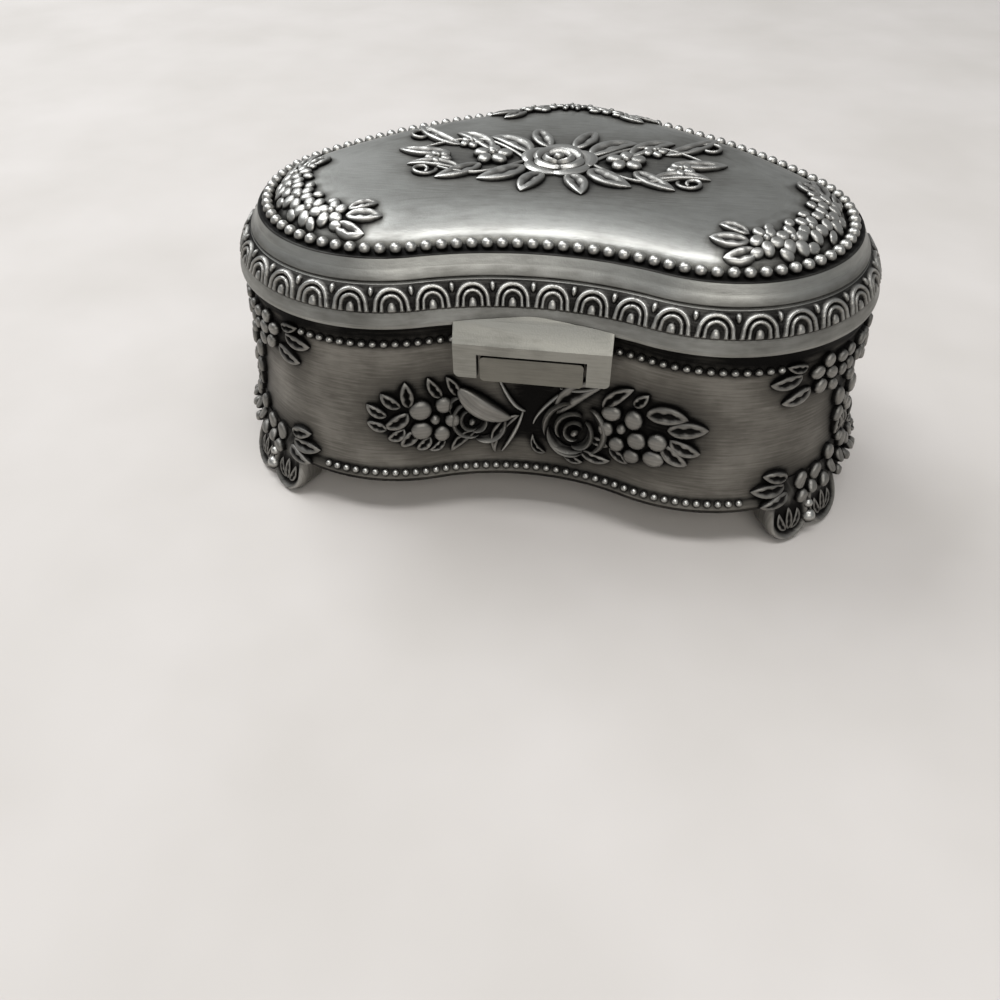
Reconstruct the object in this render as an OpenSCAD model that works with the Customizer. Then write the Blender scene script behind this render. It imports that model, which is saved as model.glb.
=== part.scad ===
// Heart-shaped keepsake box for a rosary: cast metal shell on three scroll
// feet, hinged lid with a stepped moulding, front clasp and velvet lining.
// All sizes are in millimetres. The heart is made of tangent arcs, and every
// moulding is one profile carried round those arcs at its own outward reach.

/* [Heart outline] */
// Width of the heart along the lid's bead line
heart_w = 91; // [86:0.5:96]
// Depth of the heart along the bead line, from the lobes' front to the tip
heart_d = 59.6; // [56:0.2:64]
// Radius of each front lobe
lobe_r = 20.2; // [18.6:0.2:21.6]
// Radius of the rounded tip at the back
tip_r = 12.5; // [11.5:0.5:15]
// Radius of the hollow curve between the lobes
cleft_r = 51.6; // [44:0.4:60]
// Radius of the long curve from a lobe to the tip
flank_r = 78.4; // [72:0.4:96]

/* [Body outline] */
// Reach of the shell's sides outside the lid's bead line
side_out = 5.5; // [5:0.1:6]
// Reach of the shell's lobe fronts outside the lid's bead line
front_out = 3; // [2.6:0.1:3.6]
// Reach of the shell's tip outside the lid's bead line
tip_out = 2.2; // [2:0.1:2.8]
// Radius of each front lobe of the shell, beyond the lid's
lobe_more = 4.4; // [4:0.1:4.8]
// Radius of the shell's tip, beyond the lid's
tip_more = 1.5; // [1:0.1:2]
// Radius of the shell's long side curve, beyond the lid's
flank_more = 11.6; // [8:0.4:16]
// Radius of the shell's hollow curve, less than the lid's
cleft_less = 7.6; // [6:0.4:9]

/* [Body] */
// Height of the feet below the shell
foot_h = 7; // [5:0.5:9]
// Height of the shell from its bottom edge to its rim
body_h = 31.2; // [26:0.2:36]
// Thickness of the cast walls
wall_t = 1.6; // [1.2:0.1:2]
// Drop of the shell's shoulder below the lid's lower edge
shoulder_drop = 1.4; // [1.2:0.1:1.8]
// Reach of the rim under the lid outside the lid's bead line
rim_reach = 1.6; // [1:0.1:1.8]
// Reach of the wall's foot outside the shoulder
wall_foot_out = 2.6; // [2:0.1:3]
// Reach of the plinth edge outside the shoulder
plinth_out = 3.6; // [3.2:0.1:4.2]
// Height of the plinth edge
plinth_h = 0.8; // [0.5:0.1:1.4]
// Height of the sloping bead ledge over the plinth edge
ledge_h = 1.4; // [1:0.1:2]
// Thickness of the base plate that closes the shell from below
base_t = 1.4; // [1:0.1:2]

/* [Lid] */
// Height of the lid from its lower edge to the bead channel
lid_h = 9; // [8:0.2:11]
// Reach of the lid's lower edge outside the bead line
skirt_out = 6.1; // [5.6:0.1:6.6]
// Height of the plain strip along the lower edge
strip_h = 2.35; // [1.8:0.05:3]
// Height of the ornamented band
band_h = 3.4; // [2.8:0.1:4]
// Reach of the band's top outside the bead line
band_out = 3.4; // [3:0.1:3.8]
// Reach of the rim's sharp top edge outside the bead line
rim_out = 1.7; // [1.5:0.1:2]
// Rise of the crown above the bead channel
crown_h = 3.2; // [2.4:0.1:4]
// Distance over which the crown rises, inside the bead line
crown_run = 10.5; // [9:0.5:11]
// Thickness of the lid's casting
lid_t = 1.6; // [1.2:0.1:1.8]
// Thickness of the rib inside the lid that stands on the shell's rim
rib_t = 1.4; // [1:0.1:1.6]

/* [Clasp] */
// Width of the clasp tab
tab_w = 23.6; // [20:0.2:27]
// Distance of the clasp's front face before the cleft's bead line
tab_reach = 9; // [8.6:0.1:10]
// Thickness of the clasp's front plate
tab_t = 1.7; // [1.4:0.1:2]
// Height of the clasp's front plate
tab_h = 5.8; // [5.2:0.2:7]
// Drop of the front plate's upper edge below the lid's lower edge
tab_drop = 2.4; // [2:0.1:3]
// Width of the catch block
catch_w = 15.6; // [12:0.2:17]
// Height of the catch block
catch_h = 4.2; // [3.6:0.1:5]
// Gap between the catch block and the clasp's window
catch_gap = 0.45; // [0.3:0.05:0.6]

/* [Hinge] */
// Radius of the hinge knuckles
knuckle_r = 1.9; // [1.7:0.1:2.3]
// Width of the lid's middle knuckle
knuckle_w = 5.8; // [5:0.2:8]
// Width of each of the shell's two knuckles
ear_w = 4; // [3:0.2:5]
// Radius of the hinge pin
pin_r = 0.8; // [0.6:0.05:1]
// Radial running clearance of the pin in the lid's knuckle
pin_gap = 0.05; // [0.03:0.01:0.08]
// Gap between neighbouring knuckles, and between a knuckle and the lid's edge
knuckle_gap = 0.35; // [0.3:0.05:0.5]

/* [Feet] */
// Direction of a front foot, in degrees outward from the lobe's front
foot_dir = 43; // [38:1:48]
// Width of a foot
foot_w = 16.4; // [14:0.2:18]
// Reach of a foot's toe outside the shell's shoulder
toe_out = 6.2; // [5.6:0.1:7]
// Thickness of a foot's curved plate
foot_t = 3.4; // [2.8:0.1:4]
// Depth of the dish in each lobe of a foot
dish_depth = 0.7; // [0.5:0.1:0.9]

/* [Relief] */
// Rise of the flowers and leaves on the shell's wall
wall_relief = 1.1; // [0.8:0.1:1.3]
// Rise of the flowers and leaves on the lid's shoulder
garland_relief = 0.9; // [0.6:0.1:1.2]
// Rise of the rose spray on the crown
spray_relief = 1.2; // [0.8:0.1:1.4]

/* [Lining] */
// Thickness of the velvet wall lining
lining_t = 0.9; // [0.6:0.1:1.4]
// Thickness of the padded floor
pad_t = 3.6; // [2.5:0.1:5]
// Thickness of the padded panel in the lid
lid_pad_t = 1.8; // [1.4:0.1:2.2]
// Thickness of the card behind the lid's padded panel
card_t = 1; // [0.6:0.1:1.4]
// Gap between the lining and what holds it
lining_gap = 0.1; // [0.05:0.05:0.2]

/* [Hidden] */
$fn = 96;

// Chord length of the outlines that are cut as flat plates
chord = 2;
// Levels
shell_z = foot_h;
rim_z = shell_z + body_h;
wall_z = shell_z + plinth_h + ledge_h;
seat_gap = 0.02;
lid_cover = 1.7;
lid_z = rim_z - lid_cover;
shoulder_z = lid_z - shoulder_drop;
bead_z = lid_z + lid_h;
band_z = lid_z + strip_h + band_h;
crown_z = bead_z + crown_h;
base_recess = 0.1;
floor_z = shell_z + base_recess + base_t;

// Arcs of a heart, each [centre x, centre y, radius, first angle, last angle,
// side], in order round it; side is -1 where the curve is hollow. The heart is
// w wide and d deep, and its tip reaches to y = back. The directions in which
// the arcs meet are rounded to a thousandth of a degree, and the centres follow
// from them, so that neighbouring arcs share their end faces exactly
function fine(a) = round(a * 1000) / 1000;
function heart_arcs(w, d, lobe, tip, cleft, flank, back) =
    let (
        x = w / 2 - lobe,
        y = sqrt(pow(cleft + lobe, 2) - x * x) - cleft,
        tip_y = y - lobe + d - tip,
        span = norm([x, tip_y - y]),
        run = [-x, tip_y - y] / span,
        along = (pow(flank - lobe, 2) - pow(flank - tip, 2) + span * span) / (2 * span),
        aside = sqrt(pow(flank - lobe, 2) - along * along),
        to_flank = [run[0] * along - run[1] * aside, run[1] * along + run[0] * aside],
        cleft_a = fine(atan2(y + cleft, x)),
        lobe_a = fine(atan2(-to_flank[1], -to_flank[0])),
        tip_a = fine(atan2(tip_y - y - to_flank[1], -x - to_flank[0])),
        lobe_x = (cleft + lobe) * cos(cleft_a),
        lobe_up = (cleft + lobe) * sin(cleft_a),
        side_r = (lobe_x + lobe * cos(lobe_a) - tip * cos(tip_a)) / (cos(lobe_a) - cos(tip_a)),
        flank_x = lobe_x - (side_r - lobe) * cos(lobe_a),
        flank_up = lobe_up - (side_r - lobe) * sin(lobe_a),
        tip_up = flank_up + (side_r - tip) * sin(tip_a),
        base = back - tip - tip_up
    )
    [
        [lobe_x, base + lobe_up, lobe, cleft_a - 180, lobe_a, 1],
        [flank_x, base + flank_up, side_r, lobe_a, tip_a, 1],
        [0, base + tip_up, tip, tip_a, 180 - tip_a, 1],
        [-flank_x, base + flank_up, side_r, 180 - tip_a, 180 - lobe_a, 1],
        [-lobe_x, base + lobe_up, lobe, 180 - lobe_a, 360 - cleft_a, 1],
        [0, base, cleft, 180 - cleft_a, cleft_a, -1],
    ];
LOBE = 0;
FLANK = 1;
TIP = 2;
CLEFT = 5;

// The lid's bead line and the shell's shoulder line
LID_LINE = heart_arcs(heart_w, heart_d, lobe_r, tip_r, cleft_r, flank_r, heart_d);
tip_back = LID_LINE[TIP][1] + tip_r;
BODY_LINE = heart_arcs(
    heart_w + 2 * side_out, heart_d + front_out + tip_out, lobe_r + lobe_more,
    tip_r + tip_more, cleft_r - cleft_less, flank_r + flank_more, tip_back + tip_out
);
lid_hollow = LID_LINE[CLEFT][1] + cleft_r;
body_tip = BODY_LINE[TIP];

// Hinge axis, behind the lid's lower edge and level with it
hinge_y = tip_back + skirt_out + knuckle_gap + knuckle_r;
hinge_z = lid_z;
pin_len = knuckle_w + 2 * (knuckle_gap + ear_w) + 0.8;

// The part's origin is under the middle of its depth
front_y = BODY_LINE[LOBE][1] - BODY_LINE[LOBE][2] - plinth_out;
back_y = hinge_y + knuckle_r;
mid_y = (front_y + back_y) / 2;

// Outline of the heart at a given outward reach, as points
function arc_steps(a, reach) =
    ceil((a[2] + a[5] * reach) * abs(a[4] - a[3]) * PI / 180 / chord);
function heart_points(arcs, reach) = [
    for (a = arcs)
        let (n = arc_steps(a, reach), r = a[2] + a[5] * reach)
            for (i = [0:n - 1])
                let (t = a[3] + (a[4] - a[3]) * i / n)
                    [a[0] + r * cos(t), a[1] + r * sin(t)]
];

// Reach of the wall's outer face at a height, a hollow flare towards its foot
flare_pow = 1.35;
function wall_out(z) =
    wall_foot_out * pow(max(0, (shoulder_z - z) / (shoulder_z - wall_z)), flare_pow);
wall_steps = 6;
wall_levels = [for (i = [0:wall_steps]) wall_z + (shoulder_z - wall_z) * i / wall_steps];

// Height of the crown at a distance inside the bead line
function crown_at(d) =
    bead_z + crown_h * pow(1 - pow(1 - min(1, d / crown_run), 2.6), 0.62);
crown_fracs = [0, 0.02, 0.06, 0.12, 0.2, 0.32, 0.48, 0.7, 1];
channel_in = 1.1;
channel_out = 1;

// Profiles, as [outward reach, height]
shoulder_in = 2;
rim_t = 1.6;
outer_wall = [for (z = wall_levels) [wall_out(z), z]];
shell_outer = concat(
    [[plinth_out, shell_z], [plinth_out, shell_z + plinth_h]],
    outer_wall,
    [[-shoulder_in, shoulder_z]]
);
shell_inner = concat(
    [[-shoulder_in, shoulder_z - wall_t], [-wall_t, shoulder_z - wall_t]],
    [for (i = [wall_steps - 1:-1:0]) [wall_out(wall_levels[i]) - wall_t, wall_levels[i]]]
);
rim_profile = [
    [rim_reach - rim_t, shoulder_z - wall_t], [rim_reach, shoulder_z - wall_t],
    [rim_reach, rim_z], [rim_reach - rim_t, rim_z],
];
base_out = wall_foot_out + 0.4;
shell_profile = concat(
    shell_outer,
    shell_inner,
    [[wall_foot_out - wall_t, floor_z], [base_out, floor_z], [base_out, shell_z]]
);

strip_out = skirt_out - 0.65;
groove_out = band_out - 0.35;
fascia_out = band_out - 0.15;
lid_face = [
    [skirt_out, lid_z],
    [skirt_out, lid_z + 0.5],
    [strip_out + 0.1, lid_z + strip_h - 0.2],
    [strip_out, lid_z + strip_h],
    [(strip_out + band_out) / 2 + 0.25, lid_z + strip_h + band_h / 2],
    [band_out, band_z],
    [groove_out, band_z + 0.25],
    [fascia_out, band_z + 0.5],
    [(fascia_out + rim_out) / 2 - 0.15, (band_z + bead_z) / 2 + 0.2],
    [rim_out, bead_z - 0.1],
    [rim_out - 0.2, bead_z + 0.1],
    [channel_out, bead_z],
    [-channel_in, bead_z],
];
crown_face = [for (f = crown_fracs) if (f > 0)
    [-channel_in - f * crown_run, crown_at(f * crown_run)]];
crown_edge = -channel_in - crown_run - 0.6;
rib_in = rim_reach - rib_t;
rib_z = rim_z + seat_gap;
lid_under = concat(
    [[crown_edge, crown_z - lid_t]],
    [for (i = [len(crown_face) - 1:-1:3]) crown_face[i] - [-0.3, lid_t]],
    [
        [-channel_in, bead_z - lid_t],
        [rib_in, bead_z - lid_t],
        [rib_in, rib_z],
        [rim_reach, rib_z],
        [rim_reach, band_z - lid_t],
        [strip_out - lid_t, lid_z + strip_h - 0.4],
        [skirt_out - lid_t, lid_z + 0.6],
        [skirt_out - lid_t, lid_z],
    ]
);
lid_profile = concat(lid_face, crown_face, [[crown_edge, crown_z]], lid_under);

// Exact move: a coarse step and then what is left of it
module shifted(x, y) {
    coarse = [round(x * 10) / 10, round(y * 10) / 10];
    translate(coarse) translate([x, y] - coarse) children();
}

// One profile carried round one arc of the heart
module swept_arc(a, profile) {
    shifted(a[0], a[1])
        rotate_extrude(start = min(a[3], a[4]), angle = abs(a[4] - a[3]))
            shifted(a[2], 0)
                mirror([a[5] < 0 ? 1 : 0, 0])
                    polygon(profile);
}

// One profile carried round the whole heart
module moulding(arcs, profile) {
    for (a = arcs) swept_arc(a, profile);
}

// One profile carried round the tip and a little way up both sides
module back_moulding(arcs, profile) {
    for (i = [TIP - 1, TIP, TIP + 1]) swept_arc(arcs[i], profile);
}

// Flat heart-shaped plate
module slab(arcs, reach, z, thick) {
    translate([0, 0, z])
        linear_extrude(thick)
            polygon(heart_points(arcs, reach));
}

// Plate with round corners, standing in the XZ plane with its front at y = 0
module upright_plate(w, h, t, r) {
    translate([0, t, 0])
        rotate([90, 0, 0])
            linear_extrude(t) {
                translate([-w / 2 + r, 0]) square([w - 2 * r, h]);
                translate([-w / 2, r]) square([w, h - 2 * r]);
                for (x = [-1, 1], z = [r, h - r])
                    translate([x * (w / 2 - r), z]) circle(r);
            }
}

// Moves a piece from the cleft's bead line to the part's own origin
module in_place() {
    translate([0, -mid_y, 0]) children();
}

// Length of an arc, and of the run from the middle of a line's hollow to the
// start of its lobe, its long side curve and its tip
function arc_run(a) = a[2] * abs(a[4] - a[3]) * PI / 180;
function lobe_s(arcs) = arc_run(arcs[CLEFT]) / 2;
function flank_s(arcs) = lobe_s(arcs) + arc_run(arcs[LOBE]);
function tip_s(arcs) = flank_s(arcs) + arc_run(arcs[FLANK]);
function back_s(arcs) = tip_s(arcs) + arc_run(arcs[TIP]) / 2;

// Arc on which a place lies that is s along a line from the middle of its
// hollow, and the direction of that place from the arc's centre
function arc_at(arcs, s) =
    s < lobe_s(arcs) ? CLEFT : s < flank_s(arcs) ? LOBE : s < tip_s(arcs) ? FLANK : TIP;
function dir_at(arcs, s) =
    let (
        i = arc_at(arcs, s),
        start = i == LOBE ? lobe_s(arcs) : i == FLANK ? flank_s(arcs) : tip_s(arcs)
    )
    i == CLEFT ? 90 - s / arcs[CLEFT][2] * 180 / PI
        : arcs[i][3] + (s - start) / arcs[i][2] * 180 / PI;
foot_s = lobe_s(BODY_LINE)
    + (foot_dir - 90 - BODY_LINE[LOBE][3]) * BODY_LINE[LOBE][2] * PI / 180;

// Puts a piece on a moulding at s along its line, with x along the line, y up
// the face and z out of it; steep is the face's slope and turn spins the piece.
// A negative s lies on the left side, as a mirror image
module on_face(arcs, s, reach, z, steep, turn) {
    a = arcs[arc_at(arcs, abs(s))];
    t = dir_at(arcs, abs(s));
    r = a[2] + a[5] * reach;
    mirror([s < 0 ? 1 : 0, 0, 0])
        translate([a[0] + r * cos(t), a[1] + r * sin(t), z])
            rotate([0, 0, t + (a[5] > 0 ? 90 : 270)])
                rotate([steep, 0, 0])
                    rotate([0, 0, turn])
                        children();
}
root = 0.7;
module on_wall(s, z, turn = 0) {
    lean = atan((wall_out(z - 2) - wall_out(z + 2)) / 4);
    on_face(BODY_LINE, s, wall_out(z), z, 90 - lean, turn)
        translate([0, 0, -root]) children();
}
module on_crown(s, d, turn = 0) {
    rise = atan((crown_at(d + 1) - crown_at(d - 1)) / 2);
    on_face(LID_LINE, s, -channel_in - d, crown_at(d), rise, turn)
        translate([0, 0, -root]) children();
}

// Pointed leaf from the origin along x
module leaf(length, width, rise) {
    r = (pow(length, 2) + pow(width, 2)) / (4 * width);
    linear_extrude(rise + root)
        intersection() {
            translate([length / 2, r - width / 2]) circle(r);
            translate([length / 2, width / 2 - r]) circle(r);
        }
}

// Open flower of round petals about a small heart
module flower(petal_r, petals, rise) {
    linear_extrude(rise * 0.8 + root)
        for (i = [1:petals])
            rotate(360 * i / petals) translate([petal_r * 1.15, 0]) circle(petal_r);
    cylinder(r = petal_r * 0.8, h = rise + root);
}

// Garland over a foot: flowers above and below a column of petals
module corner_garland(middle) {
    side = sign(middle);
    for (s = [-7.4, 0, 7.4]) on_wall(middle + s, 28.2, 20 * s) flower(1.55, 4, wall_relief);
    for (s = [-7.2, 0, 7.2]) on_wall(middle + s, 12.2, 15 * s) flower(1.4, 4, wall_relief);
    for (z = [15.9, 20.4]) on_wall(middle, z, 90) leaf(4, 3, wall_relief);
    for (s = [-1, 1]) {
        on_wall(middle + s * 11.4, 28.2, s * side > 0 ? 10 : 170) leaf(5, 2.4, wall_relief);
        on_wall(middle + s * 10.8, 12, s * side > 0 ? -10 : 190) leaf(5, 2.2, wall_relief);
    }
}

// Garland over the back foot, under the hinge
module back_garland() {
    back = back_s(BODY_LINE) - 0.01;
    on_wall(back, 12.2, 45) flower(1.4, 4, wall_relief);
    for (z = [15.9, 20.4]) on_wall(back, z, 90) leaf(4, 3, wall_relief);
    for (side = [-1, 1]) {
        on_wall(side * (back - 7.2), 12.2, 0) flower(1.4, 4, wall_relief);
        on_wall(side * (back - 10.8), 12, 190) leaf(5, 2.2, wall_relief);
    }
}

// Spray under the clasp: a flower to the left, a rose to the right, leaves and
// a bud between them
module front_spray() {
    on_wall(-16.4, 17, 0) flower(2, 6, wall_relief);
    on_wall(16.6, 17.4, 0) flower(2, 6, wall_relief);
    on_wall(7.3, 15, 30) flower(1.8, 5, wall_relief);
    on_wall(-8.8, 15.4, 0) flower(1.4, 4, wall_relief);
    on_wall(-21.6, 19, 30) leaf(6.4, 2.8, wall_relief);
    on_wall(-21.6, 15.4, -30) leaf(6, 2.6, wall_relief);
    on_wall(21.8, 19.6, 25) leaf(6.4, 3.2, wall_relief);
    on_wall(21.8, 15.6, -30) leaf(6, 2.8, wall_relief);
    on_wall(5, 19.6, 35) leaf(8.4, 3.4, wall_relief);
    on_wall(2.4, 17, 250) leaf(7, 2, wall_relief);
    on_wall(-4, 19.2, 25) leaf(8, 3.4, wall_relief);
}

module body_shell() {
    color("#6f6e69") in_place() {
        moulding(BODY_LINE, shell_profile);
        difference() {
            slab(BODY_LINE, -wall_t / 2, shoulder_z - wall_t, wall_t);
            slab(LID_LINE, rim_reach - rim_t / 2, shoulder_z - wall_t - 1, wall_t + 2);
        }
        moulding(LID_LINE, rim_profile);
        front_spray();
        for (side = [-1, 1]) corner_garland(side * foot_s);
        back_garland();
    }
}

module base_plate() {
    color("#6a6964") in_place()
        slab(BODY_LINE, base_out - 0.1, shell_z + base_recess, base_t);
}

// Foot elevation: two round lobes side by side under a straight top
sole_cut = 0.3;
module foot_outline() {
    r = foot_w / 4;
    intersection() {
        union() {
            for (s = [-1, 1]) translate([s * r, r - sole_cut]) circle(r);
            translate([-foot_w / 2, r - sole_cut]) square([foot_w, foot_h]);
        }
        translate([-foot_w / 2, 0]) square([foot_w, foot_h]);
    }
}

// Curved foot plate on an arc of the heart, centred on direction dir. Each lobe
// is dished and holds a bead, and a round boss stands over the notch between
module scroll_foot(a, dir) {
    r = a[2];
    heel = r + toe_out - foot_t;
    brow = r + plinth_out;
    toe = heel + foot_t - 0.2;
    knee = brow + 0.6;
    lean = atan((toe - knee) / (foot_h * 0.4));
    sweep = foot_w / (r + toe_out) * 180 / PI + 20;
    lobe_turn = foot_w / 4 / (r + toe_out) * 180 / PI;
    shifted(a[0], a[1]) {
        difference() {
            intersection() {
                rotate_extrude(start = dir - sweep / 2, angle = sweep)
                    polygon([
                        [heel, 0], [heel + foot_t, 0], [toe, foot_h * 0.2],
                        [knee, foot_h * 0.6], [brow, foot_h],
                        [brow - foot_t, foot_h], [brow - foot_t + 0.4, foot_h * 0.6],
                    ]);
                rotate([0, 0, dir + 90])
                    rotate([90, 0, 0])
                        linear_extrude(r + toe_out + 1)
                            foot_outline();
            }
            for (s = [-1, 1])
                rotate([0, 0, dir + s * lobe_turn])
                    translate([(toe + knee) / 2, 0, foot_h * 0.4])
                        rotate([0, 90 - lean, 0])
                            translate([0, 0, -dish_depth]) cylinder(r = foot_w * 0.14, h = foot_t);
        }
        for (s = [-1, 1])
            rotate([0, 0, dir + s * lobe_turn])
                translate([(toe + knee) / 2 - dish_depth, 0, foot_h * 0.4])
                    sphere(r = foot_w * 0.07);
        rotate([0, 0, dir])
            translate([brow - 0.6, 0, foot_h * 0.68])
                rotate([0, 80, 0])
                    cylinder(r = foot_w * 0.085, h = 1.7);
    }
}

module foot_left() {
    color("#5f5e59") in_place()
        mirror([1, 0]) scroll_foot(BODY_LINE[LOBE], foot_dir - 90);
}

module foot_right() {
    color("#5f5e59") in_place()
        scroll_foot(BODY_LINE[LOBE], foot_dir - 90);
}

module foot_back() {
    color("#5f5e59") in_place()
        scroll_foot(body_tip, 90);
}

// Space inside the shell's outer face, for fitting pieces against the wall
wall_space = concat([[-8, wall_z]], outer_wall, [[0, hinge_z], [-8, hinge_z]]);
// Space inside the lid's outer face
lid_space = concat(
    [[-6, lid_z - 1], [skirt_out, lid_z - 1]],
    [for (i = [0:9]) lid_face[i]],
    [[-6, bead_z - 0.1]]
);

tab_top = lid_z - tab_drop;
tab_foot = tab_top - tab_h;
catch_top = tab_top - 2.1;
window_w = catch_w + 2 * catch_gap;

module catch_block() {
    color("#8b8a84") in_place()
        difference() {
            translate([0, lid_hollow + 0.2 - tab_reach, catch_top - catch_h])
                upright_plate(catch_w, catch_h, tab_reach, 0.7);
            swept_arc(BODY_LINE[CLEFT], wall_space);
        }
}

module clasp_tab() {
    color("#a3a29c") in_place() {
        difference() {
            union() {
                translate([0, lid_hollow - tab_reach, tab_foot])
                    upright_plate(tab_w, tab_h, tab_t, 0.9);
                translate([-tab_w / 2, lid_hollow, 0])
                    rotate([90, 0, 90])
                        linear_extrude(tab_w)
                            polygon([
                                [-tab_reach, tab_top - 1.2],
                                [-tab_reach, tab_top],
                                [-skirt_out + 0.3, lid_z + 1.3],
                                [-skirt_out + 0.9, lid_z],
                                [-tab_reach + tab_t + 0.5, tab_top - 0.6],
                                [-tab_reach + tab_t, tab_top - 1.2],
                            ]);
            }
            translate([-window_w / 2, lid_hollow - tab_reach - 1, tab_foot - 1])
                cube([window_w, tab_reach, catch_top + catch_gap - tab_foot + 1]);
            swept_arc(LID_LINE[CLEFT], lid_space);
        }
    }
}

// Side view of a hinge piece, extruded across a width centred on x
module hinge_side(x, w) {
    translate([x - w / 2, 0, 0])
        rotate([90, 0, 90])
            linear_extrude(w)
                children();
}

bracket_drop = 7.4;
module hinge_bracket() {
    arm_x = (knuckle_w + ear_w) / 2 + knuckle_gap;
    wall_y = body_tip[1] + body_tip[2];
    plate_r = body_tip[2] + wall_out(hinge_z - bracket_drop) + 1;
    color("#77766f") in_place()
        difference() {
            union() {
                for (s = [-1, 1])
                    hinge_side(s * arm_x, ear_w) {
                        translate([hinge_y, hinge_z]) circle(knuckle_r);
                        polygon([
                            [hinge_y, hinge_z - knuckle_r],
                            [wall_y - 4, hinge_z - bracket_drop],
                            [wall_y - 4, hinge_z - 0.6],
                            [hinge_y - knuckle_r, hinge_z - 0.3],
                            [hinge_y, hinge_z],
                        ]);
                    }
                intersection() {
                    translate([0, body_tip[1], hinge_z - bracket_drop])
                        cylinder(r = plate_r, h = bracket_drop - shoulder_drop - 0.3);
                    hinge_side(0, knuckle_w + 2 * (knuckle_gap + ear_w))
                        translate([wall_y - 3, hinge_z - bracket_drop - 1])
                            square([plate_r, bracket_drop + 1]);
                }
            }
            back_moulding(BODY_LINE, wall_space);
            translate([-pin_len, hinge_y, hinge_z])
                rotate([0, 90, 0])
                    cylinder(r = pin_r, h = 2 * pin_len);
        }
}

module hinge_knuckle() {
    color("#8a8983") in_place()
        difference() {
            hinge_side(0, knuckle_w) {
                translate([hinge_y, hinge_z]) circle(knuckle_r);
                polygon([
                    [hinge_y, hinge_z + knuckle_r],
                    [hinge_y - knuckle_r - 3, band_z - 1.6],
                    [hinge_y - knuckle_r - 3, lid_z + 0.3],
                    [hinge_y - knuckle_r + 0.02, lid_z + 0.1],
                    [hinge_y, hinge_z],
                ]);
            }
            back_moulding(LID_LINE, lid_space);
            translate([-pin_len, hinge_y, hinge_z])
                rotate([0, 90, 0])
                    cylinder(r = pin_r + pin_gap, h = 2 * pin_len);
        }
}

module hinge_pin() {
    color("#b5b4ae") in_place()
        translate([-pin_len / 2, hinge_y, hinge_z])
            rotate([0, 90, 0])
                cylinder(r = pin_r, h = pin_len);
}

lining_top = shoulder_z - wall_t - lining_gap;
module wall_lining() {
    levels = concat([floor_z + 0.1], [for (i = [0:wall_steps - 1]) wall_levels[i]], [lining_top]);
    face = [for (z = levels) [wall_out(max(z, wall_z)) - wall_t - lining_gap, z]];
    back = [for (i = [len(face) - 1:-1:0]) face[i] - [lining_t, 0]];
    color("#4a1f2b") in_place() moulding(BODY_LINE, concat(face, back));
}

// Padded panel: a flat plate whose edge rounds over on one side
pad_run = 4;
function pad_edge(thick) = [
    for (i = [0:6]) let (t = 90 * i / 6) [pad_run * (1 - cos(t)) * -1, thick * sin(t)]
];
module padded_panel(arcs, reach, thick) {
    base = 0.35;
    moulding(arcs, concat(
        [[reach - pad_run - 1, 0], [reach, 0], [reach, thick * base]],
        [for (p = pad_edge(thick * (1 - base))) [reach + p[0], thick * base + p[1]]],
        [[reach - pad_run - 1, thick]]
    ));
    slab(arcs, reach - pad_run - 0.5, 0, thick);
}

module floor_pad() {
    reach = wall_out(floor_z + pad_t) - wall_t - 2 * lining_gap - lining_t;
    color("#5a2533") in_place()
        translate([0, 0, floor_z + 0.05]) padded_panel(BODY_LINE, reach, pad_t);
}

card_z = rib_z + lid_pad_t + 0.6;
module lid_card() {
    color("#b9a98a") in_place() slab(LID_LINE, rib_in - lining_gap, card_z, card_t);
}

module lid_pad() {
    color("#5a2533") in_place()
        translate([0, 0, card_z])
            mirror([0, 0, 1])
                padded_panel(LID_LINE, rib_in - 2 * lining_gap, lid_pad_t);
}

// Place of the lid's side garlands along its line
garland_s = 45;

// Garland of flowers between leaves on the lid's shoulder, about middle
module shoulder_garland(middle) {
    way = sign(middle);
    for (s = [-10.5, -3.5, 3.5, 10.5]) on_crown(middle + s, 2.9, 20 * s) flower(1.1, 5, garland_relief);
    for (s = [-1, 1])
        on_crown(middle + s * 13.9, 2.9, s * way > 0 ? 5 : 175) leaf(5, 2.4, garland_relief);
}

// Garland round the lid's tip
module tip_garland() {
    back = back_s(LID_LINE);
    for (side = [-1, 1]) {
        for (s = [3.9, 9.6, 15.2]) on_crown(side * (back - s), 2.9, 20 * s) flower(1.1, 5, garland_relief);
        on_crown(side * (back - 18.4), 2.9, 175) leaf(5, 2.4, garland_relief);
    }
}

// Open rose with a bud, leaves and stems to each side, lying on the crown
spray_y = 23.6;
module rose_spray() {
    translate([0, lid_hollow + spray_y, crown_z - root]) {
        flower(3.1, 6, spray_relief);
        cylinder(r = 1.4, h = spray_relief + 0.3 + root);
        for (m = [0, 1]) mirror([m, 0, 0]) {
            translate([11.4, 0]) flower(1.5, 5, spray_relief);
            for (l = ROSE_LEAVES) translate([l[0], l[1]]) rotate(l[2]) leaf(l[3], l[4], spray_relief * 0.7);
        }
    }
}
// Each leaf of the spray's right half is [x, y, direction, length, width]
ROSE_LEAVES = [
    [5.8, 3.8, 40, 8, 4], [5.8, -3.8, -42, 8, 4], [13, 3.6, 45, 8.4, 3.4], [13, -3.6, -46, 8, 3.2],
    [15.4, 0, 4, 11, 3], [2, 7.2, 76, 7, 3.2], [2, -7.2, -76, 6.8, 3.2],
];

module lid_shell() {
    color("#8f8e88") in_place() {
        moulding(LID_LINE, lid_profile);
        slab(LID_LINE, crown_edge + 0.5, crown_z - lid_t, lid_t);
        rose_spray();
        for (side = [-1, 1]) shoulder_garland(side * garland_s);
        tip_garland();
    }
}

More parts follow.
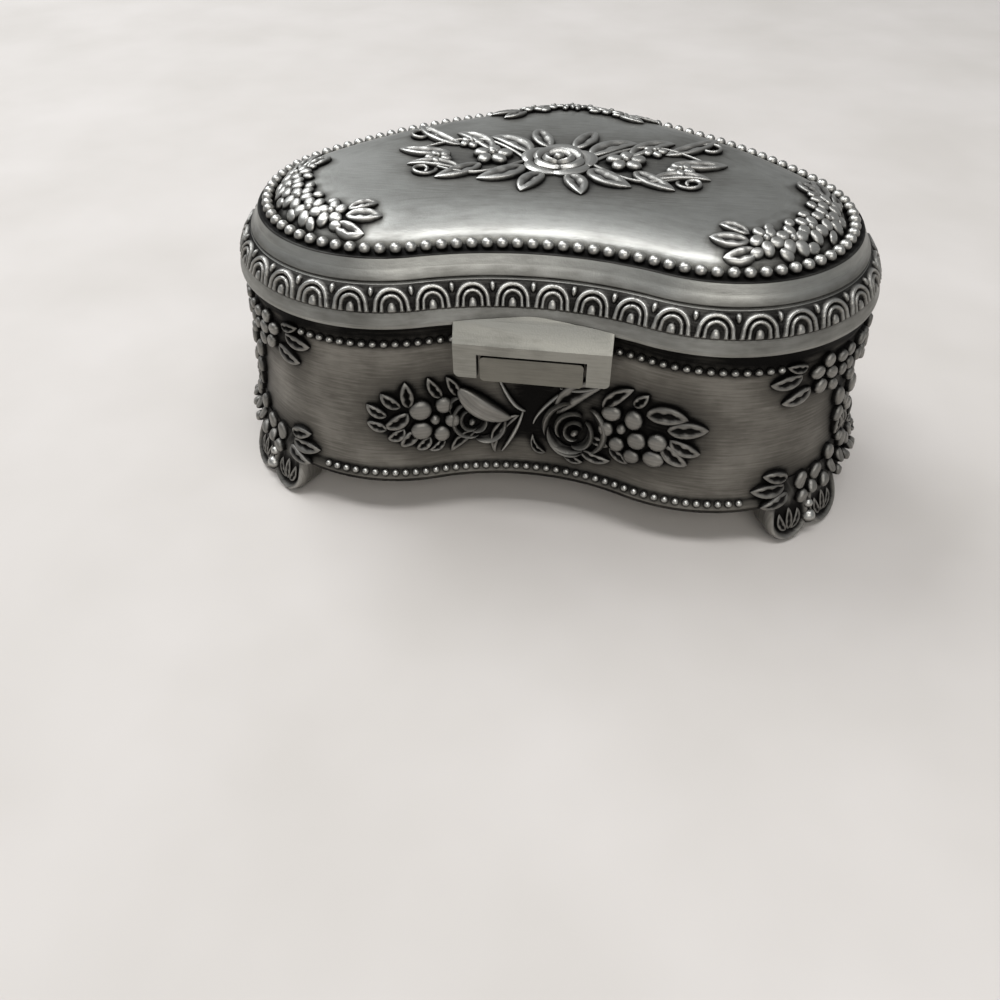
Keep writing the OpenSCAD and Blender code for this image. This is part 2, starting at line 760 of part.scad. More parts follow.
body_shell();
base_plate();
foot_left();
foot_right();
foot_back();
catch_block();
hinge_bracket();
hinge_pin();
wall_lining();
floor_pad();
lid_shell();
clasp_tab();
hinge_knuckle();
lid_card();
lid_pad();
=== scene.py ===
"""Dresses a heart-shaped cast metal keepsake box: lid, body, clasp, scroll feet and velvet lining."""

import logging
import math
from dataclasses import dataclass, field
from enum import Enum
from typing import Callable

import bmesh
import bpy
import numpy as np
from mathutils import Matrix, Vector

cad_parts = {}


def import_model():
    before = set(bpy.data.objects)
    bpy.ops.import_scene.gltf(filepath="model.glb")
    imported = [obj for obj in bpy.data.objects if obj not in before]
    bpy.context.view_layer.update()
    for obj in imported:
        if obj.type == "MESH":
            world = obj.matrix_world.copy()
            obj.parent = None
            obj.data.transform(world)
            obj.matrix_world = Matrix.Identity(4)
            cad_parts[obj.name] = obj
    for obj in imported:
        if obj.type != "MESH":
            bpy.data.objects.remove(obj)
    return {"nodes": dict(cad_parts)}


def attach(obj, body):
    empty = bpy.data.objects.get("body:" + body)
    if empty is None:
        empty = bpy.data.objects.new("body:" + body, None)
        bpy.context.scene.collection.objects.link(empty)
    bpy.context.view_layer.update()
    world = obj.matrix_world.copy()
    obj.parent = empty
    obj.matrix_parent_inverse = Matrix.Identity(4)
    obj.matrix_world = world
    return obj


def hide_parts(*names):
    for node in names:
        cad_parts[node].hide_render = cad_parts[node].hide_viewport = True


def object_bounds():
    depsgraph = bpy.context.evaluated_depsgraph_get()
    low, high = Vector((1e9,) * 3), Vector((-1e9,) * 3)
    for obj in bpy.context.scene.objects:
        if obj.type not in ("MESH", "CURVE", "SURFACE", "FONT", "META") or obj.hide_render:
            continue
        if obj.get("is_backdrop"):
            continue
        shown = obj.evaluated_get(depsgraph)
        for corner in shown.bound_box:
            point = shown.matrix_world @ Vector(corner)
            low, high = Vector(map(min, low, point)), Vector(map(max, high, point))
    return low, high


LOG = logging.getLogger("box")
MM = 0.001
# Where the lid's and the floor pad's rings shrink to, and in how many steps
MIDDLE = np.array([0.0, -3.5])
RINGS = 14


class Part(Enum):
    """The bodies that a piece can ride on."""

    BOX = "box"
    LID = "lid"


@dataclass(frozen=True)
class HeartLine:
    """A heart in mm: six arcs that meet at a tangent, with its back tip at y = back.

    The distance s runs from the middle of the front hollow (0) to the back tip, positive on the right.
    """

    width: float
    depth: float
    lobe_r: float
    tip_r: float
    hollow_r: float
    flank_r: float
    back: float

    def arcs(self) -> np.ndarray:
        """The right half's arcs, each as centre x, centre y, radius, first angle, last angle and side.

        The lobe touches the hollow's circle; the flank's centre is where circles of radius
        flank - lobe and flank - tip about the lobe's and the tip's centres cross.
        """
        lobe = np.array([self.width / 2 - self.lobe_r, 0.0])
        lobe[1] = math.sqrt((self.hollow_r + self.lobe_r) ** 2 - lobe[0] ** 2) - self.hollow_r
        tip = np.array([0.0, lobe[1] - self.lobe_r + self.depth - self.tip_r])
        span = float(np.hypot(*(tip - lobe)))
        way = (tip - lobe) / span
        reach = self.flank_r - self.lobe_r
        along = (reach**2 - (self.flank_r - self.tip_r) ** 2 + span**2) / (2 * span)
        flank = lobe + way * along + np.array([-way[1], way[0]]) * math.sqrt(reach**2 - along**2)
        hollow_a = math.atan2(lobe[1] + self.hollow_r, lobe[0])
        lobe_a = math.atan2(lobe[1] - flank[1], lobe[0] - flank[0])
        tip_a = math.atan2(tip[1] - flank[1], tip[0] - flank[0])
        rows = np.array([
            [0, -self.hollow_r, self.hollow_r, math.pi / 2, hollow_a, -1],
            [lobe[0], lobe[1], self.lobe_r, hollow_a - math.pi, lobe_a, 1],
            [flank[0], flank[1], self.flank_r, lobe_a, tip_a, 1],
            [0, tip[1], self.tip_r, tip_a, math.pi / 2, 1],
        ])
        rows[:, 1] += self.back - (tip[1] + self.tip_r)
        return rows

    def lengths(self) -> np.ndarray:
        """Distance along the line at the start of each arc and at the tip."""
        rows = self.arcs()
        return np.concatenate([[0], np.cumsum(np.abs(rows[:, 4] - rows[:, 3]) * rows[:, 2])])

    def half(self) -> float:
        """Distance from the front hollow to the back tip."""
        return float(self.lengths()[-1])

    def at(self, s: np.ndarray, out: np.ndarray) -> np.ndarray:
        """Points at distance s and outward reach out.

        Each is its arc's centre plus (radius + side x reach) along the angle that s has come to.
        A distance past the tip goes on round the other side.
        """
        s, out = np.broadcast_arrays(np.asarray(s, float), np.asarray(out, float))
        rows, starts = self.arcs(), self.lengths()
        s = (s + starts[-1]) % (2 * starts[-1]) - starts[-1]
        away = np.abs(s)
        i = np.clip(np.searchsorted(starts, away, side="right") - 1, 0, 3)
        cx, cy, r, first, last, side = (rows[i, k] for k in range(6))
        turn = first + (last - first) * (away - starts[i]) / (starts[i + 1] - starts[i])
        reach = r + side * out
        sign = np.where(s < 0, -1.0, 1.0)
        return np.stack([sign * (cx + reach * np.cos(turn)), cy + reach * np.sin(turn)], -1)

    def shrink(self, s: float, out: float) -> float:
        """How much of the line lies under one mm at reach out: radius / (radius + side x reach)."""
        rows, starts = self.arcs(), self.lengths()
        row = rows[min(int(np.searchsorted(starts, abs(s), side="right")) - 1, 3)]
        return float(1 / ((row[2] + row[5] * out) / row[2]))

    def even(self, out: float, count: int) -> np.ndarray:
        """Distances of count points that stand evenly round the line at reach out."""
        s = np.linspace(-self.half(), self.half(), 4001)
        run = run_along(self.at(s, out))
        return np.interp((np.arange(count) + 0.5) / count * run[-1], run, s)


def run_along(path: np.ndarray) -> np.ndarray:
    """Length of a path in the plane up to each of its points."""
    return np.concatenate([[0], np.cumsum(np.hypot(*np.diff(path, axis=0).T))])


def smoothstep(x: np.ndarray, low: float, high: float) -> np.ndarray:
    """0 below low, 1 above high and 3t^2 - 2t^3 between them."""
    t = np.clip((x - low) / (high - low), 0, 1)
    return t * t * (3 - 2 * t)


def root(x: np.ndarray) -> np.ndarray:
    """The square root, and nought below nought."""
    return np.sqrt(np.clip(x, 0, None))


def swell(u: np.ndarray, share: float, power: float) -> np.ndarray:
    """A half sine wave to a power, of which u from 0 to 1 covers that share about its middle."""
    return np.sin(math.pi * np.clip(u * share + (1 - share) / 2, 0, 1)) ** power


def raised(flat: np.ndarray, high: np.ndarray | float) -> np.ndarray:
    """Points of a plan given their heights."""
    return np.concatenate([flat, np.broadcast_to(high, flat.shape[:-1])[..., None]], -1)


@dataclass
class Shell:
    """One mesh in mm: its points, faces, patina (0 bare to 1 black) and grain coordinates."""

    points: np.ndarray
    quads: np.ndarray
    caps: list[np.ndarray] = field(default_factory=list)
    patina: np.ndarray | None = None
    grain: np.ndarray | None = None

    def settled(self) -> "Shell":
        """The shell with a patina of nought and a grain of x and y where none was given."""
        self.patina = np.zeros(len(self.points)) if self.patina is None else self.patina
        self.grain = self.points[:, :2] if self.grain is None else self.grain
        return self

    def outward(self) -> "Shell":
        """The closed shell with its faces turned outward."""
        if volume(self.points - self.points.mean(0), self.quads) < 0:
            self.quads = self.quads[:, ::-1]
            self.caps = [cap[:, ::-1] for cap in self.caps]
        return self


def volume(points: np.ndarray, quads: np.ndarray) -> np.ndarray:
    """Six times the signed volume that four-sided faces enclose: the sum of p0 . (p1 x p2 + p2 x p3)."""
    a, b, c, d = (points[..., quads[:, k], :] for k in range(4))
    return ((np.cross(b, c) + np.cross(c, d)) * a).sum((-2, -1))


def joined(shells: list[Shell]) -> Shell:
    """All the shells as one, with the later ones' point numbers raised."""
    shells = [s.settled() for s in shells]
    starts = np.concatenate([[0], np.cumsum([len(s.points) for s in shells])])
    return Shell(
        np.concatenate([s.points for s in shells]),
        np.concatenate([s.quads + k for s, k in zip(shells, starts)]),
        [cap + k for s, k in zip(shells, starts) for cap in s.caps],
        np.concatenate([s.patina for s in shells]),
        np.concatenate([s.grain for s in shells]),
    )


def lattice(rows: int, cols: int, close_rows: bool = False, close_cols: bool = False) -> np.ndarray:
    """Four-sided faces between neighbouring points of a grid, closed round where asked."""
    i = np.arange(rows if close_rows else rows - 1)[:, None]
    j = np.arange(cols if close_cols else cols - 1)[None, :]
    i2, j2 = (i + 1) % rows, (j + 1) % cols
    return np.stack([i * cols + j, i * cols + j2, i2 * cols + j2, i2 * cols + j], -1).reshape(-1, 4)


def hoop(points: np.ndarray, patina: np.ndarray | None = None, grain: np.ndarray | None = None) -> Shell:
    """A grid of points closed both ways: a profile carried round the heart."""
    quads = lattice(*points.shape[:2], True, True)
    return Shell(points.reshape(-1, 3), quads, [], patina, grain).outward()


def drawn_in(edge: np.ndarray, first: int, high: float) -> np.ndarray:
    """Rings that shrink evenly from an edge to MIDDLE at one height, from step number first."""
    share = 1 - np.arange(first, RINGS)[:, None, None] / RINGS
    return raised(edge[None, :, :2] * share + MIDDLE * (1 - share), high)


def fan(row: int, cols: int, pole: int, turned: bool = False) -> np.ndarray:
    """Triangles from one row of a grid to a pole."""
    j = np.arange(cols)
    pair = [row * cols + j, row * cols + (j + 1) % cols]
    return np.stack([*(pair[::-1] if turned else pair), np.full(cols, pole)], -1)


def spindles(points: np.ndarray, patina: np.ndarray, grain: np.ndarray | None = None) -> Shell:
    """Closed tubes, each capped at both ends and right side out, from an array (tube, row, ring point, xyz)."""
    count, rows, ring, _ = points.shape
    faces = lattice(rows, ring, close_cols=True)
    flat = points.reshape(count, rows * ring, 3)
    inside_out = volume(flat - flat.mean(1, keepdims=True), faces) < 0
    starts = (np.arange(count) * rows * ring)[:, None, None]
    quads = faces + starts
    quads = np.where(inside_out[:, None, None], quads[..., ::-1], quads)
    low = np.arange(ring)[::-1][None] + starts[..., 0]
    high = np.arange(ring)[None] + (rows - 1) * ring + starts[..., 0]
    caps = [np.where(inside_out[:, None], cap[:, ::-1], cap) for cap in (low, high)]
    tones = np.broadcast_to(patina, points.shape[:3]).ravel()
    marks = None if grain is None else grain.reshape(-1, 2)
    return Shell(points.reshape(-1, 3), quads.reshape(-1, 4), caps, tones, marks)


def corners_of(mesh: bpy.types.Mesh) -> np.ndarray:
    """The point number of each face corner."""
    corners = np.empty(len(mesh.loops), np.int32)
    mesh.loops.foreach_get("vertex_index", corners)
    return corners


def points_of(mesh: bpy.types.Mesh) -> np.ndarray:
    """The mesh's points in mm."""
    points = np.empty(len(mesh.vertices) * 3)
    mesh.vertices.foreach_get("co", points)
    return points.reshape(-1, 3) / MM


def shown(mesh: bpy.types.Mesh, grain: np.ndarray, crease: float) -> bpy.types.Object:
    """A linked object at the origin of a smooth mesh.

    Args:
        mesh: its mesh.
        grain: coordinates of the polishing marks at each face corner.
        crease: faces that meet at more than this many degrees keep a sharp edge.

    Returns:
        The object, which has the mesh's name.
    """
    mesh.uv_layers.new(name="grain").data.foreach_set("uv", grain.ravel().astype(np.float32))
    mesh.shade_smooth()
    mesh.set_sharp_from_angle(angle=math.radians(crease))
    piece = bpy.data.objects.new(mesh.name, mesh)
    bpy.context.scene.collection.objects.link(piece)
    return piece


def mesh_piece(name: str, shell: Shell, period: float | None = None) -> bpy.types.Object:
    """A mesh object at the origin from a shell.

    Args:
        name: the piece's name.
        shell: its mesh, in mm.
        period: the length after which the grain's first coordinate comes round again.

    Returns:
        The linked object.
    """
    shell = shell.settled()
    mesh = bpy.data.meshes.new(name)
    faces = shell.quads.tolist() + [ring for cap in shell.caps for ring in cap.tolist()]
    mesh.from_pydata((shell.points * MM).tolist(), [], faces)
    grain = shell.grain[corners_of(mesh)].astype(np.float64)
    if period:
        quads = grain[: shell.quads.size, 0].reshape(-1, 4)
        torn = np.ptp(quads, axis=1) > period / 2
        quads[torn] += np.where(quads[torn] < 0, period, 0)
        grain[: shell.quads.size, 0] = quads.ravel()
    tone = mesh.attributes.new("patina", "FLOAT", "POINT")
    tone.data.foreach_set("value", shell.patina.astype(np.float32))
    piece = shown(mesh, grain, 38.0)
    mesh.validate()
    return piece


def eased(corners: np.ndarray, radius: float, steps: int = 4) -> np.ndarray:
    """A closed profile whose corners are rounded.

    Each corner becomes a short parabola from radius before it to radius after it, or to 0.4 of a short side.
    """
    corners = np.asarray(corners, float)
    ends = []
    for side in (np.roll(corners, 1, 0) - corners, np.roll(corners, -1, 0) - corners):
        long = np.hypot(*side.T)[:, None]
        ends.append((corners + side / long * np.minimum(radius, 0.4 * long))[:, None])
    t = np.linspace(0, 1, steps)[None, :, None]
    curve = (1 - t) ** 2 * ends[0] + 2 * t * (1 - t) * corners[:, None] + t**2 * ends[1]
    return curve.reshape(-1, 2)


@dataclass
class Halo:
    """How closely ornament crowds each place of a ground, from its footprint blurred on a fine grid.

    The span holds the first and last value of both coordinates.
    """

    span: tuple[float, float, float, float]
    step: float = 0.4
    marks: list[np.ndarray] = field(default_factory=list)

    def cell(self, places: np.ndarray) -> np.ndarray:
        """Numbers of the cell nearest to each place."""
        return ((places - [self.span[0], self.span[2]]) / self.step).round().astype(int)

    def reading(self, a: np.ndarray, b: np.ndarray, reach: float) -> np.ndarray:
        """The footprint, 0 or 1, spread by a bell curve of that reach, at the nearest cell to each place.

        What passes one end of the first coordinate comes in at the other.
        """
        start, end, low, high = self.span
        cells = np.zeros((int((end - start) / self.step) + 1, int((high - low) / self.step) + 1))
        places = np.concatenate(self.marks)
        i = self.cell(np.stack([(places[:, 0] - start) % (end - start) + start, places[:, 1]], -1))
        i = i[((i >= 0) & (i < cells.shape)).all(-1)]
        cells[i[:, 0], i[:, 1]] = 1
        half = int(3 * reach / self.step)
        bell = np.exp(-0.5 * (np.arange(-half, half + 1) * self.step / reach) ** 2)
        bell /= bell.sum()
        for axis, mode in ((0, "wrap"), (1, "constant")):
            margin = [(half, half) if axis == k else (0, 0) for k in (0, 1)]
            cells = np.apply_along_axis(np.convolve, axis, np.pad(cells, margin, mode=mode), bell, "valid")
        i = np.clip(self.cell(np.stack([a, b], -1)), 0, np.array(cells.shape) - 1)
        return cells[i[..., 0], i[..., 1]]


Ground = Callable[[np.ndarray, np.ndarray, np.ndarray], np.ndarray]


@dataclass
class Carving:
    """Low relief on one ground: leaves, petals, roses and stems, each a closed tube with its foot in the ground.

    A relief's own plane has p along the ground's first coordinate and q along its second, in mm.
    Its high places have the patina bare, from 0 for rubbed metal to 1 for black.
    """

    ground: Ground
    halo: Halo
    bare: float = 0.0
    sink: float = 0.25
    shells: list[Shell] = field(default_factory=list)

    def add(self, path: np.ndarray, half: np.ndarray, lift: Callable, tone: Callable, faces: int) -> None:
        """Tubes along paths: ring point b, -1 to 1, stands b x half width aside at the height lift(a, b).

        Args:
            path: centre lines as (tube, row, 2).
            half: half widths as (tube, row).
            lift: height over the ground from a, the share of the path, and b; shapes (tube, row, ring).
            tone: patina from a and b.
            faces: ring points on the face.
        """
        count, rows, _ = path.shape
        way = np.gradient(path, axis=1)
        way /= np.maximum(np.hypot(way[..., 0], way[..., 1])[..., None], 1e-9)
        aside = np.stack([-way[..., 1], way[..., 0]], -1)
        b = np.concatenate([np.sin(np.linspace(-math.pi / 2, math.pi / 2, faces)), [0.7, 0.0, -0.7]])
        a = np.broadcast_to(np.linspace(0, 1, rows)[None, :, None], (count, rows, len(b)))
        b3 = np.broadcast_to(b, a.shape)
        flat = path[:, :, None] + aside[:, :, None] * (b3 * half[..., None])[..., None]
        on_face = np.arange(len(b)) < faces
        edge = (np.abs(b3) > 0.999) | ~on_face
        height = np.where(edge, -self.sink, lift(a, b3))
        patina = np.where(edge, 1.0, tone(a, b3))
        self.halo.marks.append(flat[:, :, on_face].reshape(-1, 2))
        place = self.ground(flat[..., 0], flat[..., 1], height)
        self.shells.append(spindles(place, patina, np.stack([a * 4, b3 * half[..., None]], -1)))

    def leaves(self, rows: list[tuple], rise: float, deep: float = 1.0) -> None:
        """Leaves, each (base p, base q, tip p, tip q, width, bend).

        The half width goes as a^0.6 (1 - a)^0.75. The face is plump, with a feathered dent along its
        middle, deep x exp(-(b / (0.2 + 0.22 cos^2(3.5 pi a)))^2), that runs out before the tip.
        """
        data = np.array(rows, float)
        base, tip, width, bend = data[:, 0:2], data[:, 2:4], data[:, 4], data[:, 5]
        a = np.linspace(0.0, 1.0, 18)
        across = np.stack([-(tip - base)[:, 1], (tip - base)[:, 0]], -1)
        bow = (4 * a * (1 - a))[None, :, None] * across[:, None] * bend[:, None, None]
        path = base[:, None] + (tip - base)[:, None] * a[None, :, None] + bow
        form = a**0.6 * (1 - a) ** 0.75
        half = width[:, None] / 2 * (0.03 + 0.97 * form / form.max())

        def dent(u: np.ndarray, b: np.ndarray) -> np.ndarray:
            """How deep the middle's dent is, 0 to 1."""
            wide = 0.2 + 0.22 * np.cos(3.5 * math.pi * u) ** 2
            return deep * np.exp(-((b / wide) ** 2)) * smoothstep(u, 0.04, 0.2) * (1 - smoothstep(u, 0.66, 0.9))

        def lift(u: np.ndarray, b: np.ndarray) -> np.ndarray:
            """A full cushion with the dent let into it, fading at both ends."""
            return rise * swell(u, 0.96, 0.4) * (0.35 + 0.65 * root(1 - b**6) - 0.6 * dent(u, b))

        def tone(u: np.ndarray, b: np.ndarray) -> np.ndarray:
            """Dark dent and flanks, bare rim."""
            return np.clip(self.bare + 0.85 * dent(u, b) + 0.5 * smoothstep(np.abs(b), 0.8, 1.0), 0, 1)

        self.add(path, half, lift, tone, 15)

    def petals(self, rows: list[tuple], rise: float, flat: float = 4.0) -> None:
        """Domed oval petals, each (centre p, centre q, length, width, turn in degrees).

        The plan is an ellipse, and the height goes as sqrt(1 - rho^flat), rho being the share of the way
        to its edge.
        """
        data = np.array(rows, float)
        t = np.sin(np.linspace(-math.pi / 2, math.pi / 2, 12)) * 0.999
        turn = np.radians(data[:, 4])
        way = np.stack([np.cos(turn), np.sin(turn)], -1)
        path = data[:, None, 0:2] + way[:, None] * (t[None] * data[:, 2:3] / 2)[..., None]

        def rho2(b: np.ndarray) -> np.ndarray:
            """Squared share of the way from the middle to the edge."""
            across = t[None, :, None] ** 2
            return across + b**2 * (1 - across)

        def lift(_: np.ndarray, b: np.ndarray) -> np.ndarray:
            """A dome with a full shoulder."""
            return rise * root(1 - rho2(b) ** (flat / 2))

        def tone(_: np.ndarray, b: np.ndarray) -> np.ndarray:
            """Bare on top, dark down the flank."""
            return self.bare + (1 - self.bare) * smoothstep(rho2(b), 0.72, 1.0)

        self.add(path, data[:, 3:4] / 2 * np.sqrt(1 - t**2)[None], lift, tone, 11)

    def flower(self, p: float, q: float, reach: float, rise: float, turn: float) -> None:
        """Five oval petals round a small round centre."""
        ring = reach * 0.62
        self.petals([
            (p + ring * math.cos(k), q + ring * math.sin(k), reach * 0.98, reach * 0.8, math.degrees(k) + 18)
            for k in np.radians(turn + 72 * np.arange(5))
        ], rise)
        self.petals([(p, q, reach * 0.5, reach * 0.5, 0)], rise * 1.25)

    def strands(self, paths: np.ndarray, half: np.ndarray, rise: float) -> None:
        """Thin ribs along paths (tube, row, 2): the height goes as sqrt(1 - b^2), fading at the ends."""

        def lift(u: np.ndarray, b: np.ndarray) -> np.ndarray:
            """A half-round rib."""
            return rise * root(1 - b**2) * swell(u, 0.94, 0.4)

        def tone(_: np.ndarray, b: np.ndarray) -> np.ndarray:
            """Nearly bare on top."""
            return 0.1 + 0.9 * smoothstep(np.abs(b), 0.55, 1.0)

        self.add(paths, half, lift, tone, 9)

    def crescents(self, rows: list[tuple], rise: float) -> None:
        """Cupped petals of a rose, each (centre p, centre q, radius, first angle, last angle, width)."""
        data = np.array(rows, float)
        a = np.linspace(0, 1, 16)
        angle = np.radians(data[:, 3:4] + (data[:, 4:5] - data[:, 3:4]) * a[None])
        path = data[:, None, 0:2] + data[:, 2, None, None] * np.stack([np.cos(angle), np.sin(angle)], -1)
        half = data[:, 5:6] / 2 * (0.08 + 0.92 * np.sin(math.pi * a)[None] ** 0.6)

        def lift(u: np.ndarray, b: np.ndarray) -> np.ndarray:
            """A ramp that rises to the petal's outer lip and drops behind it."""
            slope = smoothstep(-b, -1.0, 0.55) * (1 - 0.55 * smoothstep(-b, 0.55, 1.0))
            return rise * (0.25 + 0.75 * slope) * swell(u, 0.9, 0.35)

        def tone(_: np.ndarray, b: np.ndarray) -> np.ndarray:
            """Dark at the petal's root, bare at its lip."""
            return 0.9 - (0.9 - self.bare) * smoothstep(-b, -0.6, 0.2)

        self.add(path, half, lift, tone, 13)

    def rose(self, p: float, q: float, r: float, rise: float, turn: float) -> None:
        """An open rose seen from above: three rings of cupped petals that climb to a curled heart."""
        for share, count, width, height, shift in (
            (0.86, 5, 0.62, 0.55, 0), (0.58, 4, 0.5, 0.8, 40), (0.32, 3, 0.36, 1.0, 75),
        ):
            step = 360 / count
            angles = [turn + shift + k * step for k in range(count)]
            self.crescents(
                [(p, q, r * share * 0.84, a - step * 0.62, a + step * 0.62, r * width) for a in angles], rise * height
            )
        self.petals([(p, q, r * 0.34, r * 0.28, turn + 30)], rise * 1.05, 3.0)

    def shell(self) -> Shell:
        """All the relief as one mesh."""
        return joined(self.shells)


def beads(centres: np.ndarray, radius: float, sides: int = 12, rings: int = 6) -> Shell:
    """Round beads: rings of latitude from pole to pole about each centre, closed at the poles by small caps."""
    lat = np.linspace(-math.pi / 2 + 0.18, math.pi / 2 - 0.18, rings + 1)[:, None]
    lon = np.linspace(0, 2 * math.pi, sides, endpoint=False)
    ball = np.stack(np.broadcast_arrays(np.cos(lat) * np.cos(lon), np.cos(lat) * np.sin(lon), np.sin(lat)), -1)
    # Each bead's lower half is darker than its top: painted shade under light from above, and patina where the bead
    # meets its ground
    return spindles(centres[:, None, None] + ball * radius, smoothstep(-ball[..., 2], -0.35, 0.5))


# ---------------------------------------------------------------------------
# Finishes
# ---------------------------------------------------------------------------


def linear(colour: str) -> tuple[float, float, float, float]:
    """An sRGB hex colour as linear red, green, blue and alpha."""
    srgb = np.array([int(colour[k : k + 2], 16) for k in (1, 3, 5)]) / 255
    lin = np.where(srgb <= 0.04045, srgb / 12.92, ((srgb + 0.055) / 1.055) ** 2.4)
    return (*lin.tolist(), 1.0)


@dataclass
class Recipe:
    """A material's node tree while it is made."""

    name: str

    def __post_init__(self) -> None:
        """Starts with a Principled shader and the object's own coordinates."""
        self.material = bpy.data.materials.new(self.name)
        self.material.use_nodes = True
        self.tree = self.material.node_tree
        self.body = self.node("ShaderNodeTexCoord").outputs["Object"]

    def join(self, node: bpy.types.Node, links: dict) -> None:
        """Joins sockets, or sets plain values, at a node's inputs of those names or numbers."""
        for key, value in links.items():
            if isinstance(value, bpy.types.NodeSocket):
                self.tree.links.new(value, node.inputs[key])
            else:
                node.inputs[key].default_value = value

    def node(self, kind: str, links: dict | None = None, **settings) -> bpy.types.Node:
        """Adds a node.

        Args:
            kind: the node's type name.
            links: input name or number to a socket, or to a plain value.
            settings: the node's own properties.

        Returns:
            The node.
        """
        made = self.tree.nodes.new(kind)
        for key, value in settings.items():
            setattr(made, key, value)
        self.join(made, links or {})
        return made

    def maths(self, operation: str, *values, clamp: bool = False) -> bpy.types.NodeSocket:
        """The result of a sum on sockets or numbers."""
        made = self.node("ShaderNodeMath", dict(enumerate(values)), operation=operation, use_clamp=clamp)
        return made.outputs[0]

    def noise(self, vector: bpy.types.NodeSocket, scale: float, detail: float, **more: float) -> bpy.types.NodeSocket:
        """A noise texture's height; more holds Roughness or Distortion."""
        links = {"Vector": vector, "Scale": scale, "Detail": detail, **more}
        return self.node("ShaderNodeTexNoise", links).outputs["Fac"]

    def ramp(self, source: bpy.types.NodeSocket, stops: list[tuple[float, str]]) -> bpy.types.NodeSocket:
        """A colour ramp over hex stops, and its colour socket."""
        made = self.node("ShaderNodeValToRGB", {"Fac": source})
        band = made.color_ramp
        for element, (place, colour) in zip(band.elements, (stops[0], stops[-1])):
            element.position, element.color = place, linear(colour)
        for place, colour in stops[1:-1]:
            band.elements.new(place).color = linear(colour)
        return made.outputs["Color"]

    def bump(self, height: bpy.types.NodeSocket, strength: float, depth_mm: float) -> bpy.types.NodeSocket:
        """A bumped normal."""
        links = {"Height": height, "Strength": strength, "Distance": depth_mm * MM}
        return self.node("ShaderNodeBump", links).outputs["Normal"]

    def finish(self, **links) -> bpy.types.Material:
        """Joins sockets or values to the shader, by input names with _ for a space, and gives the material."""
        self.join(self.tree.nodes["Principled BSDF"], {key.replace("_", " "): value for key, value in links.items()})
        return self.material


@dataclass(frozen=True)
class AntiquedPewter:
    """Cast pewter, blackened with acid and rubbed back, so that hollows stay black and high places are bare."""

    name: str = "antiqued_pewter"
    bare: str = "#b9b8b3"
    mid: str = "#8a8883"
    black: str = "#191817"
    rough: float = 0.34
    streak_mm: float = 0.35
    streak_long: float = 14.0
    streak: float = 0.5
    bump: float = 0.12

    def make(self) -> bpy.types.Material:
        """Patina from the piece's own attribute, broken up by stains, with rubbing marks along the grain."""
        r = Recipe(self.name)
        # Rubbing marks: about 0.35 mm apart and 14 times as long
        scale = (1 / (self.streak_mm * self.streak_long), 1 / self.streak_mm, 1)
        grain = r.node("ShaderNodeUVMap", uv_map="grain").outputs["UV"]
        laid = r.node("ShaderNodeMapping", {"Vector": grain, "Scale": scale}).outputs["Vector"]
        marks = r.noise(laid, 1.0, 3.0, Roughness=0.6)
        # Uneven blackening in cloudy patches of about 9 mm
        clouds = r.noise(r.body, 110.0, 4.0, Roughness=0.55)
        # Fine sand-cast tooth of about 0.25 mm
        tooth = r.noise(r.body, 4000.0, 2.0, Roughness=0.5)
        # Blackening left in every corner closer than 1.1 mm
        patina = r.node("ShaderNodeAttribute", attribute_name="patina").outputs["Fac"]
        open_sky = r.node("ShaderNodeAmbientOcclusion", {"Distance": 0.0011}, samples=6, only_local=False).outputs["AO"]
        deep = r.maths("MULTIPLY", r.maths("SUBTRACT", 1.0, open_sky), 0.95)
        cloudy = r.maths("MULTIPLY", r.maths("SUBTRACT", clouds, 0.5), 0.55)
        marked = r.maths("MULTIPLY", r.maths("SUBTRACT", marks, 0.5), self.streak)
        stained = r.maths("ADD", r.maths("ADD", patina, deep), cloudy)
        black = r.maths("ADD", stained, marked, clamp=True)
        gloss = r.node("ShaderNodeMapRange", {"Value": black, "To Min": self.rough, "To Max": self.rough + 0.28})
        return r.finish(
            Base_Color=r.ramp(black, [(0.0, self.bare), (0.35, self.mid), (0.95, self.black)]),
            Metallic=0.96,
            Roughness=gloss.outputs["Result"],
            Normal=r.bump(r.maths("MULTIPLY_ADD", marks, 0.7, tooth), self.bump, 0.2),
        )


@dataclass(frozen=True)
class Velvet:
    """Rayon velvet, cut pile: dark looking straight down, with a pale bloom at the edges."""

    name: str = "burgundy_velvet"
    deep: str = "#3a0f1b"
    lit: str = "#6d2437"
    bloom: str = "#c9808f"

    def make(self) -> bpy.types.Material:
        """Pile of 0.35 mm in two tones with crushed patches of some 12 mm."""
        r = Recipe(self.name)
        pile = r.noise(r.body, 2800.0, 2.0)
        both = r.maths("MULTIPLY", pile, r.noise(r.body, 85.0, 3.0))
        return r.finish(
            Base_Color=r.ramp(both, [(0.1, self.deep), (0.42, self.lit)]),
            Roughness=0.95,
            Sheen_Weight=0.8,
            Sheen_Roughness=0.35,
            Sheen_Tint=linear(self.bloom),
            Normal=r.bump(pile, 0.5, 0.3),
        )


@dataclass(frozen=True)
class GreyBoard:
    """Pressed grey board, the stiffener behind the lid's pad: matt, with short fibres."""

    name: str = "grey_board"

    def make(self) -> bpy.types.Material:
        """Fibres of 0.6 mm, a shade apart."""
        r = Recipe(self.name)
        fibre = r.noise(r.body, 1600.0, 4.0, Distortion=1.5)
        colour = r.ramp(fibre, [(0.3, "#8f8778"), (0.7, "#b8ae9c")])
        return r.finish(Base_Color=colour, Roughness=0.9, Normal=r.bump(fibre, 0.3, 0.2))


